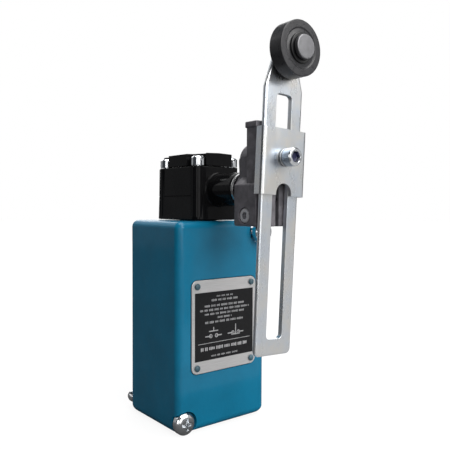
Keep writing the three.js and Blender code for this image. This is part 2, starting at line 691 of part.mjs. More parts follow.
const clampShank = 1.5;
const clampProfile = [
  [0, -HUB.halfWidth + 0.3],
  [2.6, -HUB.halfWidth + 0.3],
  [2.6, -HUB.halfWidth + 3.1],
  [clampShank, -HUB.halfWidth + 3.1],
  [clampShank, HUB.halfWidth - 0.8],
  [0, HUB.halfWidth - 0.8],
];
function buildClampScrew() {
  const geometry = latheGeometry(clampProfile, 16);
  geometry.rotateZ(-Math.PI / 2);
  geometry.translate(0, HUB.clampY, HUB.clampZ);
  const socket = cylinderX(HUB.clampY, HUB.clampZ, 1.35, -HUB.halfWidth - 1, -HUB.halfWidth + 1.9, 6);
  return toSolid(geometry).subtract(socket);
}
addToBody("hub_clamp_screw", buildClampScrew(), darkSteel);

function buildNut() {
  const side = 3.5;
  const front = HUB.bossRear - 3.3;
  return box(-side, side, front, HUB.bossRear - 0.2, LEVER.pivotZ - side, LEVER.pivotZ + side)
    .subtract(cylinderY(0, LEVER.pivotZ, CAP_SCREW.shank + 0.25, front - 1, HUB.bossRear + 1, 14));
}
addToBody("saddle_nut", buildNut(), zincPlate);

// ---- slotted arm, saddle and roller ----
function buildArm() {
  const w = ARM.halfWidth;
  const b = ARM.bottomHalfWidth;
  const outline = new THREE.Shape();
  const cornerRadius = 1.8;
  outline.moveTo(-b + cornerRadius, ARM.bottom);
  outline.lineTo(b - cornerRadius, ARM.bottom);
  outline.absarc(b - cornerRadius, ARM.bottom + cornerRadius, cornerRadius, -Math.PI / 2, 0, false);
  outline.lineTo(w, 90);
  outline.lineTo(w, ARM.shoulderZ - 2);
  outline.quadraticCurveTo(w, ARM.shoulderZ + 1, w - 1.0, ARM.shoulderZ + 3);
  outline.lineTo(ARM.neckHalf, ARM.neckZ);
  outline.absarc(0, ROLLER.z, ARM.endRadius, THREE.MathUtils.degToRad(-20),
    THREE.MathUtils.degToRad(200), false);
  outline.lineTo(-ARM.neckHalf, ARM.neckZ);
  outline.lineTo(-w + 1.0, ARM.shoulderZ + 3);
  outline.quadraticCurveTo(-w, ARM.shoulderZ + 1, -w, ARM.shoulderZ - 2);
  outline.lineTo(-w, 90);
  outline.lineTo(-b, ARM.bottom + cornerRadius);
  outline.absarc(-b + cornerRadius, ARM.bottom + cornerRadius, cornerRadius, Math.PI, 1.5 * Math.PI,
    false);
  const arm = prismY(outline, ARM.front, ARM.front + ARM.thickness, 0.45, 1, 5);
  const slot = roundedRect(-ARM.slotHalf, ARM.slotHalf, ARM.slotBottom, ARM.slotTop, 1.5);
  return arm
    .subtract(prismY(slot, ARM.front - 1, ARM.front + ARM.thickness + 1, 0, 1, 4))
    .subtract(cylinderY(0, ROLLER.z, PIN.shank + GAP, ARM.front - 1, ARM.front + ARM.thickness + 1, 16));
}
addToLever("slotted_arm", buildArm(), zincPlate);

function buildSaddle() {
  const w = SADDLE.halfWidth;
  const outer = new THREE.Shape();
  outer.moveTo(-w, SADDLE.rear);
  outer.lineTo(-w, SADDLE.front + SADDLE.bend);
  outer.absarc(-w + SADDLE.bend, SADDLE.front + SADDLE.bend, SADDLE.bend, Math.PI, 1.5 * Math.PI, false);
  outer.lineTo(w - SADDLE.bend, SADDLE.front);
  outer.absarc(w - SADDLE.bend, SADDLE.front + SADDLE.bend, SADDLE.bend, -Math.PI / 2, 0, false);
  outer.lineTo(w, SADDLE.rear);
  outer.lineTo(w - SADDLE.flange, SADDLE.rear);
  outer.lineTo(w - SADDLE.flange, SADDLE.front + SADDLE.plate);
  outer.lineTo(-w + SADDLE.flange, SADDLE.front + SADDLE.plate);
  outer.lineTo(-w + SADDLE.flange, SADDLE.rear);
  outer.closePath();
  const saddle = prismZ(outer, SADDLE.low, SADDLE.high);
  const arch = new THREE.Shape();
  arch.moveTo(-SADDLE.archHalf, SADDLE.low - 2);
  arch.lineTo(SADDLE.archHalf, SADDLE.low - 2);
  arch.lineTo(SADDLE.archHalf, SADDLE.archTop - SADDLE.archHalf);
  arch.absarc(0, SADDLE.archTop - SADDLE.archHalf, SADDLE.archHalf, 0, Math.PI, false);
  arch.closePath();
  return saddle
    .subtract(prismY(arch, SADDLE.front - 1, SADDLE.front + SADDLE.plate + 0.5))
    .subtract(cylinderY(0, LEVER.pivotZ, CAP_SCREW.shank + GAP, SADDLE.front - 1, SADDLE.front + 3, 16));
}
addToLever("saddle_clamp", buildSaddle(), zincPlate);

const lockWasher = [
  [CAP_SCREW.shank + GAP, SADDLE.front - GAP - 0.8],
  [CAP_SCREW.head, SADDLE.front - GAP - 0.8],
  [CAP_SCREW.head, SADDLE.front - GAP],
  [CAP_SCREW.shank + GAP, SADDLE.front - GAP],
  [CAP_SCREW.shank + GAP, SADDLE.front - GAP - 0.8],
];
addToBody("saddle_lock_washer", turnedY(0, LEVER.pivotZ, lockWasher, 20), zincPlate);

function buildCapScrew() {
  const profile = [
    [0, CAP_SCREW.end],
    [CAP_SCREW.head - 0.5, CAP_SCREW.end],
    [CAP_SCREW.head, CAP_SCREW.end + 0.5],
    [CAP_SCREW.head, CAP_SCREW.seat],
    [CAP_SCREW.shank, CAP_SCREW.seat],
    [CAP_SCREW.shank, CAP_SCREW.tail],
    [0, CAP_SCREW.tail],
  ];
  const socket = cylinderY(0, LEVER.pivotZ, CAP_SCREW.socket, CAP_SCREW.end - 1,
    CAP_SCREW.end + CAP_SCREW.socketDepth, 6);
  return turnedY(0, LEVER.pivotZ, profile, 24).subtract(socket);
}
addToBody("saddle_cap_screw", buildCapScrew(), brightSteel);

addToLever("roller", turnedY(0, ROLLER.z, [
  [ROLLER.bore, ROLLER.hubFront],
  [ROLLER.hub, ROLLER.hubFront],
  [ROLLER.hub, ROLLER.front + 0.35],
  [ROLLER.relief, ROLLER.front + 0.35],
  [ROLLER.relief + 0.4, ROLLER.front],
  [ROLLER.radius - ROLLER.round, ROLLER.front],
  [ROLLER.radius, ROLLER.front + ROLLER.round],
  [ROLLER.radius, ROLLER.rear - ROLLER.round],
  [ROLLER.radius - ROLLER.round, ROLLER.rear],
  [ROLLER.hub, ROLLER.rear],
  [ROLLER.hub, ROLLER.rear + 0.8],
  [ROLLER.bore, ROLLER.rear + 0.8],
  [ROLLER.bore, ROLLER.hubFront],
], 44), nylon);

addToLever("roller_pin", turnedY(0, ROLLER.z, [
  [0, PIN.headFront],
  [PIN.head - 0.3, PIN.headFront],
  [PIN.head, PIN.headFront + 0.3],
  [PIN.head, PIN.headRear],
  [PIN.shank, PIN.headRear],
  [PIN.shank, ARM.front + ARM.thickness + GAP],
  [PIN.tailRadius, ARM.front + ARM.thickness + GAP],
  [PIN.tailRadius * 0.85, PIN.tail - 0.2],
  [0, PIN.tail],
], 24), darkSteel);

// ---- snap-action switch inside the body ----
function buildSwitchCase() {
  const s = SWITCH;
  const outer = prismY(roundedRect(-s.halfWidth, s.halfWidth, s.bottom, s.top, 1.2), s.front,
    s.rear, 0, 1, 3);
  const chamber = box(-s.halfWidth + s.wall, s.halfWidth - s.wall, s.front - 1, s.rear - s.wall * 1.6,
    s.bottom + s.wall, s.top - s.wall);
  let shell = outer.subtract(chamber);
  shell = shell.subtract(cylinderZ(0, PLUNGER.y, s.button + GAP, s.top - s.wall - 1, s.top + 1, 14));
  for (const x of FIXING.places) {
    shell = shell.add(cylinderY(x, FIXING.z, FIXING.post, s.front, s.rear, 14).intersect(outer));
    shell = shell.subtract(cylinderY(x, FIXING.z, FIXING.hole, s.front - 1, s.rear + 1, 12));
  }
  for (const [side, level] of TERMINAL.places) {
    shell = shell.subtract(terminalStrip(side, level, s.halfWidth - s.wall - 1, s.halfWidth + 1, GAP));
  }
  return shell;
}
addToBody("switch_case", buildSwitchCase(), phenolic);

function buildSwitchCover() {
  const s = SWITCH;
  let cover = prismY(roundedRect(-s.halfWidth, s.halfWidth, s.bottom, s.top, 1.2), s.front - 1.6,
    s.front - GAP,
    0, 1, 3);
  for (const x of FIXING.places) {
    cover = cover.subtract(cylinderY(x, FIXING.z, FIXING.hole, s.front - 3, s.front + 1, 12));
  }
  return cover;
}
addToBody("switch_cover", buildSwitchCover(), phenolic);

FIXING.places.forEach((x, index) => {
  addToBody(`switch_fixing_screw_${index + 1}`, turnedY(x, FIXING.z, [
    [0, SWITCH.front - 3.4],
    [2.2, SWITCH.front - 3.2],
    [2.2, SWITCH.front - 1.9],
    [1.2, SWITCH.front - 1.9],
    [1.2, SWITCH.rear + 0.6],
    [0, SWITCH.rear + 0.6],
  ], 12), zincPlate);
});

addToBody("switch_button", turnedZ(0, PLUNGER.y, [
  [0, 59.6],
  [1.2, 59.6],
  [1.2, 61.4],
  [2.6, 61.4],
  [2.6, 62.4],
  [SWITCH.button, 62.4],
  [SWITCH.button, SWITCH.buttonTop - 0.4],
  [SWITCH.button - 0.5, SWITCH.buttonTop],
  [0, SWITCH.buttonTop],
], 14), nylon);

function buildBlade() {
  const profile = polygon([
    [-10.4, 58.7], [-7.2, 58.7], [-6.0, 58.9], [6.0, 58.9], [7.2, 58.7], [10.4, 58.7],
    [10.4, 59.1], [7.2, 59.1], [6.0, 59.3], [-6.0, 59.3], [-7.2, 59.1], [-10.4, 59.1],
  ]);
  return prismY(profile, PLUNGER.y - 2.4, PLUNGER.y + 2.4);
}
addToBody("contact_blade", buildBlade(), bronze);

function terminalStrip(side, level, from, to, clearance) {
  const x0 = side < 0 ? -to : from;
  const x1 = side < 0 ? -from : to;
  return box(x0, x1, TERMINAL.front - clearance, TERMINAL.rear + clearance,
    level - clearance, level + TERMINAL.thickness + clearance);
}

function buildTerminal(side, level) {
  const mid = (TERMINAL.front + TERMINAL.rear) / 2;
  return terminalStrip(side, level, TERMINAL.inner, TERMINAL.outer, 0)
    .add(cylinderZ(side * TERMINAL.contactX, mid, 1.3, level - 0.6, level + 1.4, 12))
    .subtract(cylinderZ(side * TERMINAL.screwX, mid, 1.1, level - 1, level + 2, 10));
}

TERMINAL.places.forEach(([side, level], index) => {
  addToBody(`terminal_${index + 1}`, buildTerminal(side, level), brass);
  addToBody(`terminal_screw_${index + 1}`, turnedZ(side * TERMINAL.screwX, PLUNGER.y, [
    [0, level - 1.8],
    [0.8, level - 1.8],
    [0.8, level + 1.1],
    [1.9, level + 1.1],
    [1.9, level + 2.3],
    [0, level + 2.6],
  ], 12), zincPlate);
});

addToBody("ground_screw", turnedY(GROUND.x, GROUND.z, [
  [0, GROUND.tip],
  [1.4, GROUND.tip],
  [1.4, BODY.wall + GAP],
  [3.0, BODY.wall + GAP],
  [3.0, BODY.wall + 2.0],
  [0, BODY.wall + 2.4],
], 12), zincPlate);

export default group;
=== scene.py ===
import json
import math
import random

import bmesh
import bpy
from mathutils import Matrix, Vector


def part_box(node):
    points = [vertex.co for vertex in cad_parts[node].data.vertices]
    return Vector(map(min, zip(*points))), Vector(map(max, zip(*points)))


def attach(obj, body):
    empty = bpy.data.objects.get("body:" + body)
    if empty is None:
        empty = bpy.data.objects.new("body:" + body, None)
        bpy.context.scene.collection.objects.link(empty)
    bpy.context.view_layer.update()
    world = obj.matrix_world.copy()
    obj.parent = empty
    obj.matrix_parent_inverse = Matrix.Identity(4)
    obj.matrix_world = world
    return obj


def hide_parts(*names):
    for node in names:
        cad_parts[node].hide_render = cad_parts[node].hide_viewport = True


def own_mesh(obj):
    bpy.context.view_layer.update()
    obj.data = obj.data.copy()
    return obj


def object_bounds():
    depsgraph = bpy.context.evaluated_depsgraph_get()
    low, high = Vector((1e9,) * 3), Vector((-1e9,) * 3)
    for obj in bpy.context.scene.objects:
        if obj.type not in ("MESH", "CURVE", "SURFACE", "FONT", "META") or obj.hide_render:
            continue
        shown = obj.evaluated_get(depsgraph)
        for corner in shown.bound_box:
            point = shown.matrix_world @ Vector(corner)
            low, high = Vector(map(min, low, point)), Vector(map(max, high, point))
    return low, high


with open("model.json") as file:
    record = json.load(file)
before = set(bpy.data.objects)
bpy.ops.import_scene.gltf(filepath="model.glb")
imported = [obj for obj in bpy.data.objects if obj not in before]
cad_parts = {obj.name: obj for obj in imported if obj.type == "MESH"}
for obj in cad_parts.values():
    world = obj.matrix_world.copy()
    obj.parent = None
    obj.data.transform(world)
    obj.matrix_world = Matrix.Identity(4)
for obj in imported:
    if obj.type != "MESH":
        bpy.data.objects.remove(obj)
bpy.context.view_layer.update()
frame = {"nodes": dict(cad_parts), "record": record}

# Pieces are drawn in millimetres: x across the front, y back from the front face of the box, z up from its
# underside. The same dimensions drive the CAD model, so that every piece lies where its solid does.
MM = 0.001
GAP = 0.3
BOX_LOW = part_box("housing")[0]
BODY = Matrix.Translation((0, BOX_LOW.y, BOX_LOW.z)) @ Matrix.Scale(MM, 4)
LEAN = math.radians(3.0)
PIVOT_Z = 103.0
LEVER = (BODY @ Matrix.Translation((0, 0, PIVOT_Z)) @ Matrix.Rotation(LEAN, 4, "Y")
         @ Matrix.Translation((0, 0, -PIVOT_Z)))

WIDTH, DEPTH, HEIGHT = 43.6, 37.2, 80.4
CORNER, LOW_EDGE, LOW_HEIGHT, LOW_CORNER, TOP_EDGE = 3.2, 1.9, 2.6, 2.6, 2.8
REBATE_X, REBATE_LOW, REBATE_HIGH, REBATE_DEPTH, REBATE_CUT = 18.4, 3.8, 76.6, 2.6, 10.5
INLET_RADIUS, INLET_Y, INLET_DEPTH, THREAD_PITCH = 10.2, 18.6, 11.0, 1.81
PLUNGER_Y, PLUNGER_TRAVEL = 18.1, 2.4
WALL, ROOF, POST, INLET_BOSS = 3.4, 3.8, 9.0, 13.7
LUG, LUG_FRONT = 3.2, 27.2
SPIGOT, SPIGOT_HOLE = 7.6, 8.0

PLATE_X, PLATE_LOW, PLATE_HIGH, PLATE_FRONT, PLATE_THICK = 15.9, 21.9, 57.8, -0.4, 0.5
FIELD_X, FIELD_LOW, FIELD_HIGH = 14.5, 26.6, 53.0
RIVET_X, RIVET_LOW, RIVET_HIGH = 13.4, 24.2, 55.5

MOUNT_X, MOUNT_LOW, MOUNT_HIGH = 18.0, 3.6, 75.8
MOUNT_HEAD, MOUNT_SHANK, MOUNT_RECESS, MOUNT_RECESS_DEPTH, MOUNT_LENGTH = 4.4, 2.35, 4.8, 4.3, 39.5
MOUNT_HEAD_HEIGHT, MOUNT_LOWER_FRONT, MOUNT_UPPER_FRONT = 3.8, -0.8, -4.4
REAR_SCREWS = [(-15.0, 73.2), (15.0, 7.2), (-15.2, 19.0), (15.2, 61.4)]

HEAD_X, HEAD_FRONT, HEAD_REAR, HEAD_CORNER, HEAD_BASE, HEAD_TOP = 10.4, 3.6, 34.6, 4.0, 80.7, 101.9
HEAD_GROWTH, HEAD_LOW_EDGE, HEAD_HIGH_EDGE, PARTING = 0.35, 0.5, 0.35, 90.3
COVER_TOP, COVER_SIDE, NOTCH_X, FRONT_NOTCH, REAR_NOTCH = 107.3, 106.9, 6.4, 11.2, 24.6
HEAD_SCREWS = [(-8.1, 6.7), (8.1, 6.7), (-8.1, 29.3), (8.1, 29.3)]
SHAFT_Z, SHAFT_RADIUS, BOSS_RADIUS, BOSS_END = 92.6, 4.0, 6.4, -11.0

HUB_X, HUB_FRONT, HUB_LOWER_REAR, HUB_UPPER_REAR, HUB_BOTTOM = 9.5, -29.3, -17.2, -23.6, 79.1
HUB_SHOULDER, HUB_SHOULDER_TOP, HUB_TOP, HUB_LIP = 93.8, 96.6, 115.6, 2.2
HUB_NOTCH_X, HUB_NOTCH_Z = -4.5, 112.2
HUB_BOSS, HUB_BOSS_REAR, HUB_BARREL, HUB_BARREL_REAR = 6.0, -15.4, 5.6, -13.0
CLAMP_Y, CLAMP_Z = -23.0, 82.9
BOLT_HOLE, NUT, NUT_POCKET = 2.2, 3.5, 3.8

ARM_FRONT, ARM_THICK, ARM_ROLL, ARM_BOTTOM, ARM_X, ARM_BOTTOM_X = -32.1, 1.9, 0.6, 34.3, 8.8, 8.3
SLOT_X, SLOT_LOW, SLOT_HIGH = 3.65, 40.0, 125.1
SADDLE_X, SADDLE_FRONT, SADDLE_PLATE, SADDLE_FLANGE, SADDLE_REAR = 10.2, -33.8, 1.4, 1.05, -29.7
SADDLE_LOW, SADDLE_HIGH, ARCH_X, ARCH_TOP, BEND = 89.9, 112.9, 3.6, 94.1, 1.5
ROLLER_Z, ROLLER_RADIUS, ROLLER_FRONT, ROLLER_REAR = 139.75, 9.525, -39.2, -33.5
NECK, AXLE_HOLE = 5.9, 2.5

ROOM_LIGHT = 0.05
GLOW_NEAR, GLOW_START, GLOW_END = 0.90, 0.04, 0.20


# ---- mesh building ----
def arc(cx, cy, radius, start, end, steps):
    angles = [math.radians(start + (end - start) * i / steps) for i in range(steps + 1)]
    return [(cx + radius * math.cos(a), cy + radius * math.sin(a)) for a in angles]


def rounded(points, steps=5):
    """Turns (x, y, radius) corners into a list of points with each corner rounded."""
    result = []
    for i, (x, y, radius) in enumerate(points):
        if radius <= 0:
            result.append((x, y))
            continue
        corner = Vector((x, y))
        before = (Vector(points[i - 1][:2]) - corner).normalized()
        after = (Vector(points[(i + 1) % len(points)][:2]) - corner).normalized()
        half = before.angle(after) / 2
        centre = corner + (before + after).normalized() * (radius / math.sin(half))
        first = corner + before * (radius / math.tan(half)) - centre
        last = corner + after * (radius / math.tan(half)) - centre
        sweep = math.atan2(first.cross(last), first.dot(last))
        for k in range(steps + 1):
            turn = Matrix.Rotation(sweep * k / steps, 2)
            result.append(tuple(centre + turn @ first))
    return result


def rounded_rect(x0, x1, y0, y1, radius, steps=6):
    return rounded([(x0, y0, radius), (x1, y0, radius), (x1, y1, radius), (x0, y1, radius)], steps)


def inset(outline, distance):
    """Moves a counter-clockwise outline inwards by a distance."""
    result = []
    for i, point in enumerate(outline):
        here = Vector(point)
        into = (here - Vector(outline[i - 1])).normalized()
        away = (Vector(outline[(i + 1) % len(outline)]) - here).normalized()
        normal_in = Vector((-into.y, into.x))
        normal_out = Vector((-away.y, away.x))
        middle = (normal_in + normal_out).normalized()
        result.append(tuple(here + middle * (distance / max(middle.dot(normal_in), 0.4))))
    return result


def loft(rings):
    """Closed mesh through rings of equally many points, with a face over the first ring and the last."""
    mesh = bmesh.new()
    loops = [[mesh.verts.new(point) for point in ring] for ring in rings]
    for low, high in zip(loops, loops[1:]):
        for i in range(len(low)):
            j = (i + 1) % len(low)
            mesh.faces.new((low[i], low[j], high[j], high[i]))
    mesh.faces.new(loops[0])
    mesh.faces.new(loops[-1])
    return mesh


AXES = {
    "x": lambda u, v, h: (h, u, v),
    "y": lambda u, v, h: (u, h, v),
    "z": lambda u, v, h: (u, v, h),
}


def slab(outline, low, high, axis, low_edge=0.0, high_edge=0.0, steps=4, spread=1.0):
    """Prism of a counter-clockwise outline from low to high along an axis, with rounded end edges.

    The edges reach spread times as far across the end faces as they do along the axis.
    """
    levels = []
    for i in range(steps + 1 if low_edge else 1):
        angle = math.pi / 2 * i / steps if low_edge else math.pi / 2
        levels.append((low + low_edge * (1 - math.cos(angle)) if low_edge else low,
                       low_edge * (1 - math.sin(angle)) * spread))
    for i in range(steps + 1 if high_edge else 1):
        angle = math.pi / 2 * (steps - i) / steps if high_edge else math.pi / 2
        levels.append((high - high_edge * (1 - math.cos(angle)) if high_edge else high,
                       high_edge * (1 - math.sin(angle)) * spread))
    point = AXES[axis]
    return loft([[point(u, v, h) for u, v in inset(outline, d)] for h, d in levels])


def box(x0, x1, y0, y1, z0, z1):
    return loft([[(x0, y0, z), (x1, y0, z), (x1, y1, z), (x0, y1, z)] for z in (z0, z1)])


def lathe(profile, axis, a, b, segments=48):
    """Turned solid about an axis through (a, b); the (radius, height) profile closes, or ends on the axis."""
    mesh = bmesh.new()
    point = AXES[axis]
    rings = []
    for radius, height in profile:
        if radius < 1e-6:
            rings.append([mesh.verts.new(point(a, b, height))])
            continue
        ring = []
        for i in range(segments):
            angle = 2 * math.pi * i / segments
            place = point(a + radius * math.cos(angle), b + radius * math.sin(angle), height)
            ring.append(mesh.verts.new(place))
        rings.append(ring)
    on_axis = len(rings[0]) == 1
    pairs = list(zip(rings, rings[1:]))
    if not on_axis:
        pairs.append((rings[-1], rings[0]))
    for low, high in pairs:
        for i in range(segments):
            j = (i + 1) % segments
            corners = [low[i % len(low)], low[j % len(low)], high[j % len(high)], high[i % len(high)]]
            unique = list(dict.fromkeys(corners))
            if len(unique) > 2:
                mesh.faces.new(unique)
    return mesh


def rod(axis, a, b, radius, low, high, segments=40):
    return lathe([(0, low), (radius, low), (radius, high), (0, high)], axis, a, b, segments)


def object_from(mesh, name="part"):
    bmesh.ops.recalc_face_normals(mesh, faces=mesh.faces)
    data = bpy.data.meshes.new(name)
    mesh.to_mesh(data)
    mesh.free()
    thing = bpy.data.objects.new(name, data)
    bpy.context.scene.collection.objects.link(thing)
    return thing


def apply_modifiers(thing):
    evaluated = thing.evaluated_get(bpy.context.evaluated_depsgraph_get())
    old = thing.data
    thing.data = bpy.data.meshes.new_from_object(evaluated)
    thing.modifiers.clear()
    bpy.data.meshes.remove(old)
    return thing


def combine(thing, operation, *tools):
    """Booleans the tools with the thing, one after another, and deletes them."""
    for tool in tools:
        other = tool if isinstance(tool, bpy.types.Object) else object_from(tool, "tool")
        modifier = thing.modifiers.new("boolean", "BOOLEAN")
        modifier.operation = operation
        modifier.solver = "EXACT"
        modifier.object = other
        bpy.context.view_layer.update()
        apply_modifiers(thing)
        bpy.data.objects.remove(other)
    return thing


def cut(thing, *tools):
    return combine(thing, "DIFFERENCE", *tools)


def join(thing, *tools):
    return combine(thing, "UNION", *tools)


def soften(thing, width, segments=3, angle=34):
    """Rounds every edge sharper than the angle."""
    work = bmesh.new()
    work.from_mesh(thing.data)
    bmesh.ops.remove_doubles(work, verts=work.verts, dist=0.002)
    bmesh.ops.dissolve_limit(work, angle_limit=math.radians(1), verts=work.verts, edges=work.edges)
    work.to_mesh(thing.data)
    work.free()
    modifier = thing.modifiers.new("bevel", "BEVEL")
    modifier.width = width
    modifier.segments = segments
    modifier.limit_method = "ANGLE"
    modifier.angle_limit = math.radians(angle)
    modifier.use_clamp_overlap = True
    modifier.miter_outer = "MITER_ARC"
    bpy.context.view_layer.update()
    return apply_modifiers(thing)


def deliver(thing, name, body, material, stands_for=(), matrix=None, smooth=38):
    """Scales a finished piece from millimetres into the frame, smooths it and puts it on its body."""
    thing.name = name
    thing.data.name = name
    thing.data.transform(BODY if matrix is None else matrix)
    thing.data.shade_smooth()
    thing.data.set_sharp_from_angle(angle=math.radians(smooth))
    modifier = thing.modifiers.new("normals", "WEIGHTED_NORMAL")
    modifier.keep_sharp = True
    modifier.weight = 100
    bpy.context.view_layer.update()
    apply_modifiers(thing)
    thing.data.name = name
    thing.data.materials.clear()
    thing.data.materials.append(material)
    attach(thing, body)
    if stands_for:
        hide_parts(*stands_for)
    return thing


# ---- materials ----
class Look:
    """Principled material whose node tree is filled in by small helpers, in millimetres of the object."""

    def __init__(self, name, color, roughness, metallic=0.0, coat=0.0, coat_roughness=0.1, specular=0.5):
        self.material = bpy.data.materials.new(name)
        self.material.use_nodes = True
        self.tree = self.material.node_tree
        self.shader = self.tree.nodes["Principled BSDF"]
        self.shader.inputs["Base Color"].default_value = (*color, 1)
        self.shader.inputs["Roughness"].default_value = roughness
        self.shader.inputs["Metallic"].default_value = metallic
        self.shader.inputs["Specular IOR Level"].default_value = specular
        self.shader.inputs["Coat Weight"].default_value = coat
        self.shader.inputs["Coat Roughness"].default_value = coat_roughness
        self.color = color
        self.normal = None

    def link(self, a, b):
        self.tree.links.new(a, b)

    def noise(self, size, detail, stretch=(1, 1, 1)):
        """Noise of a feature size in millimetres, drawn out along the axes by stretch."""
        place = self.tree.nodes.new("ShaderNodeTexCoord")
        mapping = self.tree.nodes.new("ShaderNodeMapping")
        mapping.inputs["Scale"].default_value = [1 / (size * MM * s) for s in stretch]
        texture = self.tree.nodes.new("ShaderNodeTexNoise")
        texture.inputs["Scale"].default_value = 1.0
        texture.inputs["Detail"].default_value = detail
        texture.inputs["Roughness"].default_value = 0.55
        self.link(place.outputs["Object"], mapping.inputs["Vector"])
        self.link(mapping.outputs["Vector"], texture.inputs["Vector"])
        return texture.outputs["Fac"]

    def spread(self, value, low, high, start=0.3, end=0.7):
        node = self.tree.nodes.new("ShaderNodeMapRange")
        node.inputs["From Min"].default_value = start
        node.inputs["From Max"].default_value = end
        node.inputs["To Min"].default_value = low
        node.inputs["To Max"].default_value = high
        self.link(value, node.inputs["Value"])
        return node.outputs["Result"]

    def mix(self, value, dark, light, start=0.3, end=0.7):
        ramp = self.tree.nodes.new("ShaderNodeValToRGB")
        ramp.color_ramp.elements[0].position = start
        ramp.color_ramp.elements[1].position = end
        ramp.color_ramp.elements[0].color = (*dark, 1)
        ramp.color_ramp.elements[1].color = (*light, 1)
        self.link(value, ramp.inputs["Fac"])
        return ramp.outputs["Color"]

    def tint(self, value, amount):
        """Base colour that varies about its mean by an amount."""
        dark = [c * (1 - amount) for c in self.color]
        light = [min(1.0, c * (1 + amount)) for c in self.color]
        self.link(self.mix(value, dark, light), self.shader.inputs["Base Color"])
        return self

    def gloss(self, value, low, high):
        self.link(self.spread(value, low, high), self.shader.inputs["Roughness"])
        return self

    def bump(self, value, depth):
        """Height of a depth in millimetres, added to any bump set before."""
        node = self.tree.nodes.new("ShaderNodeBump")
        node.inputs["Strength"].default_value = 1.0
        node.inputs["Distance"].default_value = depth * MM
        self.link(value, node.inputs["Height"])
        if self.normal is not None:
            self.link(self.normal, node.inputs["Normal"])
        self.normal = node.outputs["Normal"]
        self.link(self.normal, self.shader.inputs["Normal"])
        return self


def paint_look():
    look = Look("blue_enamel", (0.003, 0.165, 0.295), 0.36, 0.0, 0.35, 0.10, 0.2)
    cloud = look.noise(14, 4)
    look.tint(cloud, 0.10)
    look.gloss(look.noise(5, 4), 0.32, 0.44)
    look.bump(look.noise(0.9, 2), 0.035)
    return look.bump(look.noise(7, 1), 0.12).material


def enamel_look():
    look = Look("black_enamel", (0.0055, 0.0055, 0.006), 0.3, 0.0, 0.24, 0.05, 0.02)
    look.tint(look.noise(9, 3), 0.25)
    look.gloss(look.noise(4, 4), 0.20, 0.34)
    look.bump(look.noise(0.8, 2), 0.03)
    return look.bump(look.noise(6, 1), 0.10).material


def casting_look():
    look = Look("cast_zinc", (0.145, 0.138, 0.152), 0.44, 0.2)
    look.tint(look.noise(3.0, 5), 0.30)
    look.gloss(look.noise(1.6, 4), 0.42, 0.62)
    look.bump(look.noise(0.45, 3), 0.05)
    return look.bump(look.noise(3.5, 2), 0.12).material


def zinc_look():
    look = Look("zinc_plate", (0.88, 0.89, 0.90), 0.3, 1.0)
    cloud = look.noise(9, 4)
    cool, warm = (0.74, 0.79, 0.85), (0.84, 0.82, 0.78)
    look.link(look.mix(cloud, cool, warm, 0.35, 0.65), look.shader.inputs["Base Color"])
    look.gloss(look.noise(2.0, 4, (1, 1, 5)), 0.25, 0.33)
    return look.bump(look.noise(6.0, 1), 0.004).material


def steel_look(name, color, low, high):
    look = Look(name, color, (low + high) / 2, 1.0)
    look.tint(look.noise(1.8, 4), 0.10)
    look.gloss(look.noise(0.8, 4), low, high)
    return look.bump(look.noise(0.3, 3), 0.008).material


def plate_look():
    look = Look("brushed_aluminium", (0.64, 0.635, 0.635), 0.36, 0.7)
    grain = look.noise(0.22, 3, (30, 1, 1))
    look.tint(grain, 0.10)
    look.gloss(grain, 0.30, 0.46)
    return look.bump(grain, 0.004).material


def ink_look(name, color, roughness, variation):
    look = Look(name, color, roughness, specular=0.25)
    look.tint(look.noise(1.0, 4), variation)
    look.gloss(look.noise(0.7, 3), roughness - 0.06, roughness + 0.08)
    return look.bump(look.noise(0.3, 2), 0.006).material


def plastic_look(name, color, roughness, size=0.5, depth=0.02, variation=0.12):
    look = Look(name, color, roughness)
    look.tint(look.noise(6, 4), variation)
    look.gloss(look.noise(2, 4), roughness - 0.07, roughness + 0.09)
    return look.bump(look.noise(size, 3), depth).material


PAINT = paint_look()
ENAMEL = enamel_look()
CASTING = casting_look()
ZINC = zinc_look()
FASTENER = steel_look("zinc_fastener", (0.62, 0.63, 0.65), 0.26, 0.42)
BRIGHT = steel_look("bright_screw", (0.84, 0.86, 0.88), 0.12, 0.22)
DARK = steel_look("dark_steel", (0.24, 0.24, 0.26), 0.30, 0.48)
PIN = steel_look("pin_steel", (0.22, 0.22, 0.23), 0.38, 0.50)
RING = steel_look("turned_ring", (0.40, 0.40, 0.40), 0.14, 0.22)
RIVET = plastic_look("rivet_coating", (0.050, 0.105, 0.135), 0.45, 0.4, 0.006, 0.2)
# darker copy of the cap screw's steel for its knurled side: painted shade
CAP_SIDE_SHADE = steel_look("cap_screw_side_shade", (0.30, 0.35, 0.42), 0.18, 0.28)
CLAMP_STEEL = steel_look("clamp_screw_steel", (0.62, 0.62, 0.64), 0.24, 0.36)
# dark blue for the floor of the cap screw's socket: painted shade
SOCKET_BLUE = plastic_look("socket_shadow", (0.010, 0.012, 0.050), 0.3, 0.5, 0.01)
SPRING = steel_look("spring_wire", (0.42, 0.42, 0.44), 0.22, 0.36)
BRASS = steel_look("terminal_brass", (0.60, 0.44, 0.16), 0.24, 0.40)
BRONZE = steel_look("contact_bronze", (0.52, 0.32, 0.12), 0.24, 0.40)
PLATE = plate_look()
FIELD_INK = ink_look("field_ink", (0.007, 0.007, 0.008), 0.42, 0.25)
PRINT_INK = ink_look("print_ink", (0.42, 0.42, 0.43), 0.5, 0.20)
ROLLER = plastic_look("roller_nylon", (0.025, 0.025, 0.028), 0.30, 0.6, 0.02)
HUB_BLACK = plastic_look("roller_bush", (0.006, 0.006, 0.007), 0.35, 0.5, 0.01)
RUBBER = plastic_look("seal_rubber", (0.012, 0.012, 0.013), 0.7, 0.4, 0.03)
ACETAL = plastic_look("acetal", (0.62, 0.60, 0.52), 0.4)
